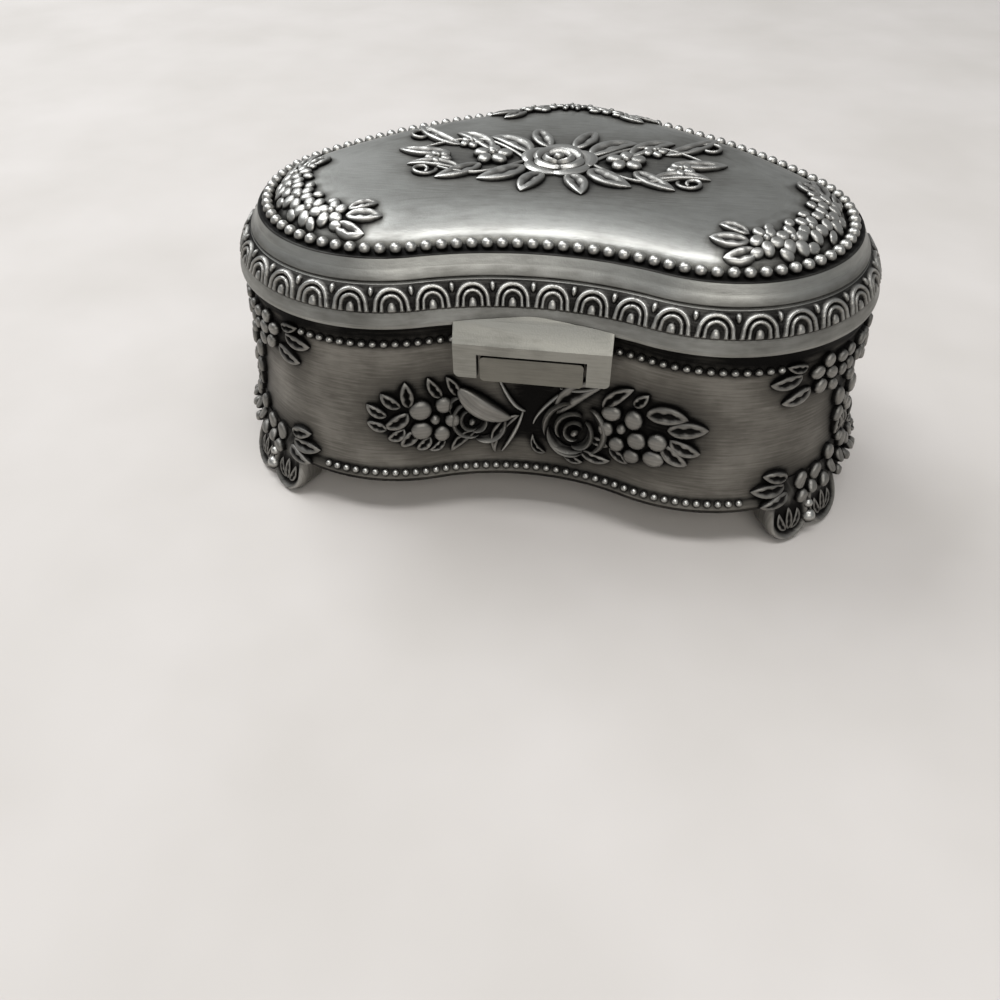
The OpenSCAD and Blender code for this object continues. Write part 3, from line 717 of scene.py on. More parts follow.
@dataclass(frozen=True)
class PaleTable:
    """The studio floor: matt pale laminate."""

    name: str = "pale_floor"

    def make(self) -> bpy.types.Material:
        """One pale tone with a faint mottling of some 40 mm."""
        r = Recipe(self.name)
        colour = r.ramp(r.noise(r.body, 24.0, 3.0), [(0.3, "#c6c1bb"), (0.7, "#cfcac5")])
        return r.finish(Base_Color=colour, Roughness=0.75)


# ---------------------------------------------------------------------------
# Sub-assemblies
# ---------------------------------------------------------------------------


@dataclass(frozen=True)
class Levels:
    """Heights of the box's main edges above the ground and its castings' thickness, in mm, as in the CAD."""

    shell: float = 7.0
    floor: float = 8.5
    wall: float = 9.2
    flange: float = 33.5
    shoulder: float = 35.1
    lid: float = 36.5
    rim: float = 38.2
    strip: float = 38.85
    band: float = 42.25
    channel: float = 45.5
    crown: float = 48.7
    cast: float = 1.6


AT = Levels()
# The lid's crown begins 1.1 mm inside the bead line and is full after another 10.5 mm
CROWN_FROM, CROWN_RUN = 1.1, 10.5


def wall_reach(z: np.ndarray | float) -> np.ndarray:
    """Reach of the wall's face from the body's line at height z: 2.6 ((35.1 - z) / 25.9)^1.35, a hollow flare."""
    return 2.6 * np.clip((AT.shoulder - np.asarray(z, float)) / (AT.shoulder - AT.wall), 0, None) ** 1.35


def crown_height(inward: np.ndarray) -> np.ndarray:
    """Height of the lid's top at a distance inside the bead line: flat channel, then a rolled shoulder."""
    t = np.clip((np.asarray(inward, float) - CROWN_FROM) / CROWN_RUN, 0, 1)
    return AT.channel + (AT.crown - AT.channel) * (1 - (1 - t) ** 2.6) ** 0.62


@dataclass
class MetalPart:
    """What the sub-assemblies share: the heart lines and how a piece is put on its body."""

    heart: HeartLine
    lid_line: HeartLine | None = None
    columns: int = 720

    def sweep(self, profile: np.ndarray, s: np.ndarray | None = None, line: HeartLine | None = None) -> np.ndarray:
        """A profile of (reach, height) carried round the heart: rows are profile points, columns places along it."""
        s = self.ring() if s is None else s
        return raised((line or self.heart).at(s[None], profile[:, :1]), profile[:, 1:2])

    def lid_sweep(self, profile: np.ndarray) -> np.ndarray:
        """A profile carried round the lid's line, at the same shares of the way round as ring()."""
        return self.sweep(profile, self.ring() * self.lid_line.half() / self.heart.half(), self.lid_line)

    def ring(self) -> np.ndarray:
        """Places along the heart line, from the tip round to it."""
        half = self.heart.half()
        return -half + 2 * half * np.arange(self.columns) / self.columns

    @staticmethod
    def put(
        piece: bpy.types.Object, part: Part, slot: str, material: bpy.types.Material, stands_for: tuple = ()
    ) -> None:
        """Gives a piece its body and material and hides the CAD nodes that it stands for; the slot is not used."""
        piece.data.materials.clear()
        piece.data.materials.append(material)
        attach(piece, part.value)
        if stands_for:
            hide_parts(*stands_for)
        LOG.info("%s: %d faces on %s", piece.name, len(piece.data.polygons), part.value)


@dataclass
class Lid(MetalPart):
    """The lid: cast cover, arcaded band, bead row, three garlands and a rose spray on its crown."""

    bead_count: int = 110
    bead_r: float = 0.95
    arch_count: int = 46
    arch_rise: float = 0.46
    arch_shift: float = 0.43
    garland_s: float = 45.0
    relief_rise: float = 1.5
    spray_y: float = -3.4

    def crown_ground(self, x: np.ndarray, y: np.ndarray, h: np.ndarray) -> np.ndarray:
        """The middle of the crown: plain x and y."""
        return np.stack([x, y, AT.crown - 0.05 + h], -1)

    def garland(self, middle: float, way: float) -> Carving:
        """One garland on the shoulder: leaves at both ends and flowers between, about distance middle."""
        k = self.heart.shrink(abs(middle) - 8.0, -4.0)

        def ground(p: np.ndarray, inward: np.ndarray, h: np.ndarray) -> np.ndarray:
            """The shoulder, with p in mm as measured 4 mm inside the line."""
            return raised(self.heart.at(middle + (p - middle) * k, -inward), crown_height(inward) + h)

        def s(run: float) -> float:
            """The first coordinate of a place that far along the garland."""
            return middle + way * run

        bend = way * 0.08
        carving = Carving(ground, Halo(self.halo.span))
        carving.leaves([
            (s(-11.4), 4.3, s(-17.9), 3.8, 2.9, 0.03), (s(-11.0), 5.5, s(-16.6), 7.1, 2.8, -bend),
            (s(-10.6), 3.0, s(-14.9), 1.8, 2.3, bend), (s(11.4), 5.0, s(17.4), 5.6, 2.8, 0.03),
            (s(11.0), 6.4, s(16.0), 8.8, 2.6, bend), (s(10.8), 3.4, s(15.2), 2.3, 2.3, -bend),
        ], 0.75)
        for run, deep, turn in ((-8.6, 4.4, 10), (-4.1, 3.8, 50), (0.5, 4.4, 30), (4.9, 3.9, 0), (8.9, 4.8, 40)):
            carving.flower(s(run), deep, 2.5, 0.85, turn)
        petals = (
            (-6.3, 6.7, 2.4, 1.8, 30), (-6.2, 1.9, 2.3, 1.6, -20), (-1.8, 6.8, 2.3, 1.8, -30),
            (-1.7, 1.8, 2.2, 1.5, 20), (2.8, 6.8, 2.3, 1.8, 20), (2.8, 1.9, 2.2, 1.5, -10),
            (7.2, 7.0, 2.3, 1.8, 40), (7.0, 2.1, 2.2, 1.5, -40), (-10.8, 6.6, 2.0, 1.6, 10),
            (10.9, 2.8, 2.0, 1.5, 10),
        )
        carving.petals([(s(run), *rest) for run, *rest in petals], 0.75)
        self.halo.marks += [(mark - [middle, 0]) * [k, 1] + [middle, 0] for mark in carving.halo.marks]
        return carving

    def spray(self) -> Carving:
        """A generic rose spray on the crown: an open rose, buds, leaves and two scrolling stems."""
        c = Carving(self.crown_ground, self.crown_halo)
        cy, rise = self.spray_y, self.relief_rise
        t = np.linspace(0, 1, 30)
        sides = (-1, 1)
        c.strands(np.array([
            np.stack([side * (5 + (reach - 5) * t), cy + bow * np.sin(math.pi * t * 1.15) + lift * t], -1)
            for side in sides for bow, reach, lift in ((5.2, 25.0, 3.0), (-4.4, 22.0, -5.5))
        ]), np.tile(0.42 * (1.15 - 0.7 * t), (4, 1)), 0.75)
        curls = []
        for side in sides:
            for x, y, r, first, hand in ((24.2, cy + 7.4, 2.6, 200, 1), (21.0, cy - 6.6, 2.2, 150, -1)):
                angle, radius = np.radians(first - hand * 430 * t), r * (1 - 0.78 * t)
                curls.append(np.stack([side * (x + radius * np.cos(angle)), y + radius * np.sin(angle)], -1))
        c.strands(np.array(curls), np.full((4, 30), 0.4), 0.8)
        c.leaves([
            (side * x, cy + y, side * tip_x, cy + tip_y, width, side * bend)
            for side in sides for x, y, tip_x, tip_y, width, bend in (
                (5.0, 2.5, 12.5, 8.5, 4.2, 0.12), (5.5, -2.5, 12.0, -8.6, 4.2, -0.12),
                (11.5, 3.0, 18.5, 9.4, 3.6, 0.12), (12.5, -2.6, 18.6, -9.0, 3.4, -0.1),
                (17.0, 4.5, 25.5, 12.0, 3.2, -0.08), (18.0, 1.0, 26.8, 1.4, 3.2, -0.1),
                (2.0, 5.2, 4.8, 13.0, 3.6, -0.05), (2.0, -5.2, 4.6, -12.2, 3.6, 0.05),
                (15.0, -5.5, 24.0, -4.6, 2.8, 0.12),
            )
        ], rise * 0.62)
        flowers = ((10.8, 0.2, 3.1, 0.8, 20), (19.4, -1.8, 2.2, 0.65, 50), (15.2, 5.2, 2.0, 0.6, 0))
        for side in sides:
            for x, y, reach, share, turn in flowers:
                c.flower(side * x, cy + y, reach, rise * share, turn)
        c.rose(0, cy, 6.2, rise, 15)
        return c

    def band(self) -> Shell:
        """The arcade: round-headed arches in two ribs over a drop, with a pear between neighbours.

        Along an arch, u runs from -pitch/2 to pitch/2 and v is the height from its foot, both in mm. A rib
        stands where the distance to the arch's core, |u| below the springing and the hypotenuse above it,
        is its radius; the height is a bell curve about that distance.
        """
        rows, n = 30, self.arch_count * 42
        s = -self.heart.half() + 2 * self.heart.half() * np.arange(n) / n
        run = run_along(self.heart.at(np.append(s, s[0]), 4.4))
        pitch = run[-1] / self.arch_count
        u = ((run[:-1] / pitch + 0.5 - self.arch_shift) % 1 - 0.5) * pitch
        v = np.linspace(-0.12, 4.1, rows)
        share = np.clip(v / 4.0, -0.03, 1.03)
        reach = np.interp(share, [-0.03, 0.5, 1.03], [5.47, 4.72, 3.42])
        high = np.interp(share, [-0.03, 0.5, 1.03], [38.82, 40.55, 42.28])
        uu, vv = np.meshgrid(u, v)
        spring = 1.25
        splay = 1 + 0.05 * np.clip(spring - vv, 0, None)
        far = np.where(vv > spring, np.hypot(uu, vv - spring), np.abs(uu) / splay)
        outer = np.exp(-(((far - 2.24) / 0.34) ** 4))
        inner = np.exp(-(((far - 1.36) / 0.28) ** 4))
        drop = root(1 - (uu / 0.66) ** 2 - ((vv - 0.55) / 1.1) ** 2)
        gap = np.abs(uu) - pitch / 2
        pear = root(1 - (gap / (0.42 + 0.12 * (vv - 3.2))) ** 2 - ((vv - 3.15) / 0.72) ** 2)
        form = np.maximum.reduce([outer, inner * 0.95, drop, pear * 1.1])
        form = form * smoothstep(vv, -0.1, 0.15) * (1 - smoothstep(vv, 3.98, 4.1))
        front = reach[:, None] + 0.86 * self.arch_rise * form, high[:, None] + 0.5 * self.arch_rise * form
        back = np.array([[reach[-1] - 0.4, high[-1] - 0.25], [reach[0] - 0.4, high[0] - 0.25]])
        points = np.concatenate([raised(self.heart.at(s, front[0]), front[1]), self.sweep(back, s)])
        patina = np.concatenate([np.clip(0.82 - 0.8 * form, 0, 1), np.ones((2, n))])
        grain = np.stack(np.broadcast_arrays(run[None, :-1], np.append(v, [4.4, -0.4])[:, None]), -1)
        return hoop(points, patina.ravel(), grain.reshape(-1, 2))

    def casting(self) -> Shell:
        """The cover: the stepped outer profile, the rolled crown to its middle and the plain underside."""
        low = AT.crown - AT.cast
        outer = [
            (6.1, AT.lid), (6.1, AT.lid + 0.5), (5.55, AT.strip - 0.25), (5.45, AT.strip), (4.68, 40.55),
            (3.4, AT.band), (3.05, AT.band + 0.25), (3.25, AT.band + 0.5), (2.33, 44.07), (1.7, 45.4), (1.5, 45.6),
            (1.0, AT.channel), (-CROWN_FROM, AT.channel),
        ]
        rise = CROWN_FROM + CROWN_RUN * np.array([0.03, 0.07, 0.13, 0.2, 0.3, 0.42, 0.56, 0.72, 0.88, 1.0])
        crown = np.stack([-rise, crown_height(rise)], -1)
        under = np.array([
            (-12.2, low), (-6.1, 46.0), (-2.5, 44.9), (-1.1, 43.9), (0.2, 43.9), (0.2, 38.22), (1.6, 38.22),
            (1.6, 40.65), (3.85, 38.45), (4.5, 37.1), (4.5, AT.lid),
        ])
        shut = eased(np.array([*outer, under[-1], (6.0, AT.lid)]), 0.16)[: 4 * len(outer)]
        s = self.ring()
        top, bottom = self.sweep(np.concatenate([shut, crown[:-1]])), self.sweep(under)
        fill = drawn_in(self.sweep(crown[-1:])[0], 0, AT.crown)
        points = np.concatenate([top, fill, drawn_in(bottom[0], 1, low)[::-1], bottom])
        rows, cols = points.shape[:2]
        cut, n = len(top) + len(fill) - 1, rows * cols
        quads = np.delete(lattice(rows, cols, True, True).reshape(rows, cols, 4), cut, axis=0).reshape(-1, 4)
        poles = np.array([[*MIDDLE, AT.crown], [*MIDDLE, low]])
        grain, patina = self.casting_tone(points, s, len(top), cut + 1)
        return Shell(
            np.concatenate([points.reshape(-1, 3), poles]),
            quads,
            [fan(cut, cols, n), fan(cut + 1, cols, n + 1, True)],
            np.append(patina, [0.3, 0.5]),
            np.concatenate([grain, poles[:, :2] * [1, 0.4]]),
        ).outward()

    def casting_tone(self, points: np.ndarray, s: np.ndarray, top: int, under: int) -> tuple[np.ndarray, np.ndarray]:
        """Grain and patina of the cover: black in the channel, the groove and round the relief.

        Args:
            points: the cover's grid.
            s: the columns' places along the line.
            top: the row where the crown's flat middle begins.
            under: the row where the underside begins.

        Returns:
            The grain as (point, 2) and the patina of each point.
        """
        shape = points.shape[:2]
        x, y, z = points[..., 0], points[..., 1], points[..., 2]
        ss = np.broadcast_to(s, shape)
        near = self.heart.at(ss, np.zeros(shape))
        inward = np.hypot(x - near[..., 0], y - near[..., 1])
        row = np.arange(shape[0])[:, None]
        above = (row < under) & (z > AT.channel - 0.05)
        relief = np.maximum.reduce([
            np.clip(1.235 * self.halo.reading(ss, inward, 1.0), 0, 0.9),
            np.clip(1.1 * self.crown_halo.reading(x, y, 1.5), 0, 0.85),
            0.1 + 0.75 * self.crown_halo.reading(x, y, 4.0),
        ])
        patina = np.full(shape, 0.12)
        for where, tone in (
            (above & (row > 40), relief),
            ((np.abs(z - AT.channel) < 0.12) & (row < top + 2) & (row > 36), 0.86),
            ((z > 42.3) & (z < 42.75) & (row < top), 0.5),
            ((z < 38.9) & (row < top), 0.24),
            ((z > 42.75) & (z < 45.3) & (row < 44), 0.1 + 0.25 * smoothstep(45.4 - z, 1.4, 2.7)),
            (row >= under, 0.55),
        ):
            patina = np.where(where, tone, patina)
        flat = above & (row >= top)
        across = np.where(flat, y, 0.4 * (row + 1))
        return np.stack([np.where(flat, x, ss), across], -1).reshape(-1, 2), patina.ravel()

    def build(self, pewter: bpy.types.Material, top: bpy.types.Material) -> None:
        """Makes the lid's pieces and dresses them."""
        half = self.heart.half()
        self.halo, self.crown_halo = Halo((-half, half, -1, 14)), Halo((-40, 40, -40, 30))
        reliefs = {
            "lid_garland_left": self.garland(-self.garland_s, 1.0),
            "lid_garland_right": self.garland(self.garland_s, -1.0),
            "lid_garland_back": self.garland(half, 1.0),
            "lid_rose_spray": self.spray(),
        }
        for name, carving in reliefs.items():
            self.put(mesh_piece(name, carving.shell()), Part.LID, "lid_metal", pewter)
        self.put(mesh_piece("lid_casting", self.casting(), 2 * half), Part.LID, "lid_metal", top, ("lid_shell",))
        self.put(mesh_piece("lid_arch_band", self.band(), 290.0), Part.LID, "lid_metal", pewter)
        centres = raised(self.heart.at(self.heart.even(0.0, self.bead_count), 0.0), AT.channel + 0.5)
        self.put(mesh_piece("lid_beads", beads(centres, self.bead_r)), Part.LID, "lid_metal", pewter)


# A corner garland: leaves as (run, height, tip's run, tip's height, width, bend) and petals as (run, height,
# length, width, turn, lean), with the run in mm from its middle; those below LOW lie over the foot
CORNER_LEAVES = (
    (11.6, 30.4, 16.7, 29.7, 2.5, 0.04), (9.6, 27.8, 14.3, 26.1, 2.4, 0.05), (11.0, 31.6, 14.6, 32.4, 1.7, 0.0),
    (11.2, 10.2, 16.8, 10.4, 2.3, 0.0), (11.0, 11.4, 15.2, 13.0, 2.3, -0.06), (11.0, 9.2, 15.4, 7.8, 2.0, 0.05),
)
CORNER_PETALS = (
    (9.0, 30.3, 2.6, 2.2, 20, 0), (7.1, 31.7, 2.4, 2.2, 70, 0), (6.0, 29.3, 2.6, 2.2, -30, 0),
    (7.9, 27.6, 2.6, 2.3, 60, 0), (5.2, 26.9, 2.5, 2.0, -50, 0), (4.0, 31.2, 2.3, 1.9, 10, 0),
    (1.5, 28.9, 2.4, 2.1, 90, 0), (3.4, 28.7, 2.2, 1.9, 60, 0), (1.9, 31.4, 2.3, 1.9, 40, 0),
    (2.2, 23.2, 3.5, 2.5, 90, 10), (1.6, 19.7, 2.9, 2.0, 90, -24), (2.3, 12.6, 3.2, 2.3, 90, 12),
    (5.4, 10.7, 2.9, 2.1, 90, -40), (8.5, 10.5, 3.0, 2.1, 90, -30), (6.6, 8.7, 2.3, 1.6, 90, -30),
    (8.6, 7.9, 2.4, 1.7, 90, -30), (3.9, 8.5, 2.5, 1.6, 90, -30), (1.6, 9.7, 2.5, 1.7, 90, 8),
)
LOW = 14.0


@dataclass
class Body(MetalPart):
    """The box's body: flared cast wall, two bead rows, front spray and three garlands."""

    bead_r: float = 0.62
    upper_z: float = 32.1
    upper_count: int = 158
    lower_z: float = 8.55
    lower_count: int = 170
    spray_up: float = 1.2
    garland_s: float = 52.5
    bare: float = 0.4

    def ground(self, s: np.ndarray, z: np.ndarray, h: np.ndarray) -> np.ndarray:
        """The wall's face: distance s along the line, height z and height h above the metal.

        Below z = 10 it swells by up to 1 mm, so that what lies there clears the plinth.
        """
        return raised(self.heart.at(s, wall_reach(z) + 1.0 - smoothstep(z, 8.2, 10.4) + h), z)

    def spray_ground(self, s: np.ndarray, z: np.ndarray, h: np.ndarray) -> np.ndarray:
        """The wall's face with the whole front spray set a little higher."""
        return self.ground(s, z + self.spray_up, h)

    def front_spray(self) -> Carving:
        """The spray under the clasp: a flower of round petals, a bud and leaves left, a rose and flower right."""
        c = Carving(self.spray_ground, self.spray_halo, self.bare)
        c.leaves([
            (-24.0, 18.2, -27.0, 20.3, 1.9, 0.05), (-24.2, 15.6, -27.2, 17.0, 1.9, -0.05),
            (-21.8, 19.8, -24.7, 22.3, 2.1, 0.05), (-20.8, 18.6, -24.6, 16.2, 2.5, 0.08),
            (-20.6, 19.6, -20.9, 24.2, 2.2, 0.0), (-21.6, 15.8, -24.2, 14.0, 2.1, 0.1),
            (-19.4, 15.2, -22.2, 12.4, 2.3, -0.05), (-17.8, 13.9, -20.0, 11.8, 2.0, 0.05),
            (-15.4, 13.4, -18.2, 11.4, 1.6, 0.1), (-15.3, 20.8, -17.4, 24.6, 2.0, 0.05),
            (-12.6, 20.8, -14.4, 24.4, 1.9, -0.05), (-9.8, 14.2, -14.4, 10.6, 1.9, -0.12),
            (-2.4, 17.0, -6.6, 9.8, 1.9, -0.22), (2.4, 10.4, 0.0, 13.6, 1.3, 0.2),
            (3.9, 18.0, 11.4, 24.6, 3.6, 0.14), (11.6, 20.6, 16.2, 25.3, 2.4, 0.08),
            (16.7, 22.6, 18.7, 25.2, 1.9, 0.0), (18.8, 21.6, 25.0, 22.2, 3.2, 0.12),
            (22.2, 19.9, 28.0, 20.9, 3.0, 0.06), (22.8, 18.4, 27.4, 16.6, 2.5, -0.06),
            (21.8, 17.4, 25.8, 14.3, 2.7, -0.06), (9.8, 14.6, 13.4, 13.9, 1.7, 0.1),
            (8.3, 12.4, 14.0, 11.4, 1.9, -0.1), (13.5, 13.8, 17.2, 12.0, 1.9, 0.05), (5.4, 11.6, 9.2, 9.8, 1.7, -0.1),
        ], 1.0)
        c.petals([
            (-18.9, 19.1, 3.7, 3.7, 0), (-15.1, 19.6, 3.2, 3.1, 0), (-13.8, 16.7, 3.0, 2.8, 0),
            (-15.8, 14.4, 3.1, 3.1, 0), (-19.0, 15.4, 3.5, 3.5, 0), (13.2, 20.4, 3.7, 2.9, 10),
            (17.0, 20.3, 3.2, 3.6, 0), (12.6, 17.4, 2.9, 2.9, 0), (18.0, 16.9, 3.3, 3.2, 0), (14.8, 15.2, 3.1, 2.8, 0),
            (21.1, 17.6, 3.1, 3.1, 0), (20.9, 14.6, 3.5, 3.0, 0), (17.6, 13.9, 2.9, 2.6, 0),
        ], 1.25, 5.0)
        c.petals([(-16.8, 17.2, 1.9, 1.9, 0), (15.3, 18.2, 1.9, 1.9, 0)], 1.45, 3.0)
        # The bud: nested cupped petals under one broad outer petal
        c.crescents([
            (-10.4, 16.4, 3.1, 75, 290, 1.5), (-10.4, 16.4, 1.8, 50, 290, 1.2), (-10.0, 16.2, 1.8, -120, 60, 1.1),
            (-8.4, 15.9, 3.4, -120, 30, 1.5), (-12.4, 18.9, 1.7, 60, 230, 1.0),
        ], 1.35)
        c.leaves([(-12.6, 22.4, -3.6, 16.6, 3.8, -0.1)], 1.7, 0.12)
        c.petals([(-10.5, 16.2, 1.5, 1.1, 40)], 1.5, 3.0)
        # The rose: a curled heart inside broad outer petals
        c.crescents([
            (7.2, 15.4, 5.0, 95, 200, 1.7), (7.0, 15.6, 4.3, 180, 300, 1.8), (6.4, 16.4, 4.6, 215, 320, 1.1),
            (7.6, 15.8, 4.6, -55, 65, 1.9), (7.2, 15.6, 2.9, 70, 215, 1.5), (7.4, 15.3, 2.7, -100, 55, 1.4),
            (7.3, 15.5, 1.55, 30, 290, 1.1),
        ], 1.45)
        c.petals([(7.3, 15.4, 1.5, 1.2, 20)], 1.6, 3.0)
        t = np.linspace(0, 1, 20)
        stems = np.array([
            np.stack([-6.0 + 4.6 * t, 24.0 - 6.2 * t - 1.2 * np.sin(math.pi * t)], -1),
            np.stack([-1.8 - 3.6 * t**1.4, 18.0 - 8.0 * t], -1),
            np.stack([0.0 + 4.8 * t, 15.6 + 6.6 * t**0.7], -1),
            np.stack([4.2 + 7.6 * t, 22.6 + 2.2 * t - 0.6 * np.sin(math.pi * t)], -1),
        ])
        c.strands(stems, np.tile(0.45 * swell(t, 0.9, 0.5), (4, 1)), 0.9)
        return c

    def corner(self, middle: float, way: float, top: float) -> Carving:
        """A garland: two flowers and leaves under the rim, a column of petals, and leaves over the foot.

        Args:
            middle: the column's distance along the line.
            way: 1 where the foot lies at a smaller distance, -1 where at a larger one.
            top: the height above which nothing is placed.
        """
        c = Carving(self.ground, self.halo, self.bare)

        def run(side: int, z: float) -> float:
            """Distance along the line for each mm of a row's own run, a little less behind the foot."""
            return -way * side * (0.86 if side < 0 and z < LOW else 1.0)

        leaves = [
            (middle + run(side, z) * a, z, middle + run(side, z) * b, tip_z, width, side * way * bend)
            for side in (1, -1) for a, z, b, tip_z, width, bend in CORNER_LEAVES
        ]
        leaves += [
            (middle - way * a, 15.2, middle - way * b, 19.0, width, 0.0)
            for a, b, width in ((0.9, 0.7, 2.2), (-1.2, -1.0, 2.0))
        ]
        petals = [
            (middle + run(side, z) * a, z, length, width, turn + side * way * lean)
            for side in (1, -1) for a, z, length, width, turn, lean in CORNER_PETALS
        ]
        petals += [(middle, z, *size) for z, *size in ((26.2, 2.4, 2.2, 0), (21.4, 2.0, 1.5, 90), (14.4, 2.0, 1.5, 90))]
        petals.append((middle, 7.9, 2.0, 1.5, 90))
        c.leaves([row for row in leaves if max(row[1], row[3]) < top], 1.0)
        c.petals([row for row in petals if row[1] + 1 < top], 1.15, 5.0)
        return c

    def casting(self) -> Shell:
        """The wall: plinth edge, flared face and shoulder, rim lip on the lid's line and the plain inside."""
        z = np.concatenate([np.linspace(9.6, 30, 26), np.linspace(30.4, AT.shoulder - 0.25, 12)])
        plinth = [(2.2, AT.shell), (3.6, AT.shell), (3.6, AT.shell + 0.8), (2.65, AT.wall - 0.02), (2.6, 9.6)]
        shoulder = [(-0.05, AT.shoulder - 0.06), (-0.25, AT.shoulder)]
        outer = np.concatenate([eased(plinth, 0.2)[4:16], np.stack([wall_reach(z), z], -1), shoulder])
        lip = np.array([
            (1.9, AT.shoulder), (1.65, AT.shoulder + 0.1), (1.6, AT.shoulder + 0.4), (1.6, AT.rim - 0.25),
            (1.4, AT.rim), (0.2, AT.rim), (0.0, AT.rim - 0.25), (0.0, AT.flange),
        ])
        low = z[::-3][z[::-3] < AT.flange]
        inner = np.stack([wall_reach(low) - AT.cast, low], -1)
        inside = np.concatenate([[(-1.55, AT.flange)], inner, [(1.0, AT.floor), (3.0, AT.floor), (3.0, AT.shell)]])
        points = np.concatenate([self.sweep(outer), self.lid_sweep(lip), self.sweep(inside)])
        s = np.broadcast_to(self.ring(), points.shape[:2])
        high, up = points[..., 2], points[..., 2] - self.spray_up
        row = np.arange(len(points))[:, None]
        halo = np.maximum(self.halo.reading(s, high, 0.8), self.spray_halo.reading(s, up, 0.9))
        wide = self.halo.reading(s, high, 2.2) + self.spray_halo.reading(s, up, 2.6)
        patina = np.maximum.reduce([
            np.clip(halo * 1.5, 0, 0.92),
            0.22 + 0.95 * wide,
            # Patina behind the upper beads and on the ledge of the lower beads; painted shade under the lid's overhang
            # and a painted shadow under the clasp
            np.exp(-(((high - self.upper_z) / 1.0) ** 2)) * 0.92,
            # Painted shade: the wall turns near black above 32 mm, where the lid's skirt overhangs it
            smoothstep(high, 32.0, 33.2) * 0.95,
            np.exp(-(((high - 8.75) / 0.8) ** 2)) * 0.9,
            # Painted shadow of the clasp: a dark column at the front of the wall above 11 to 15 mm
            0.95 * np.exp(-((s / 5.5) ** 4)) * smoothstep(high, 11.0, 15.0),
        ])
        patina = np.where(high < AT.shell + 0.7, 0.84, patina)
        patina = np.where(row < len(outer), patina, 0.55)
        # Painted shade: the shoulder and the foot of the lip, under the lid, are drawn near black
        patina = np.where((row >= len(outer) - 2) & (row < len(outer) + 3), 0.97, patina)
        run = run_along(np.concatenate([outer, lip, inside]))
        grain = np.stack(np.broadcast_arrays(s, run[:, None]), -1).reshape(-1, 2)
        return hoop(points, patina.ravel(), grain)

    def bead_row(self, z: float, out: float, count: int, skip: float, clasp: float) -> Shell:
        """A row of small beads, left out within skip of a garland, 13 mm of the tip and clasp of the front."""
        s = self.heart.even(out, count)
        away = np.abs(s)
        s = s[(self.heart.half() - away > 13.0) & (np.abs(away - self.garland_s) > skip) & (away > clasp)]
        return beads(raised(self.heart.at(s, out), z), self.bead_r, 10, 5)

    def build(self, pewter: bpy.types.Material, wall: bpy.types.Material) -> None:
        """Makes the body's pieces and dresses them."""
        half = self.heart.half()
        self.halo, self.spray_halo = Halo((-half, half, 6, 36)), Halo((-32, 32, 6, 36))
        pieces = {"body_front_spray": self.front_spray().shell()}
        for name, middle, way, top in (
            ("left", -self.garland_s, -1.0, 34.0), ("right", self.garland_s, 1.0, 34.0), ("back", half, 1.0, 25.5),
        ):
            pieces[f"body_garland_{name}"] = self.corner(middle, way, top).shell()
        for name, shell in pieces.items():
            self.put(mesh_piece(name, shell), Part.BOX, "body_metal", pewter)
        self.put(mesh_piece("body_casting", self.casting(), 2 * half), Part.BOX, "body_metal", wall, ("body_shell",))
        upper_out = float(wall_reach(self.upper_z)) + 0.28
        for name, row in (
            ("upper", (self.upper_z, upper_out, self.upper_count, 14.2, 7.0)),
            ("lower", (self.lower_z, 3.15, self.lower_count, 17.2, 0.0)),
        ):
            self.put(mesh_piece(f"body_beads_{name}", self.bead_row(*row)), Part.BOX, "body_metal", pewter)


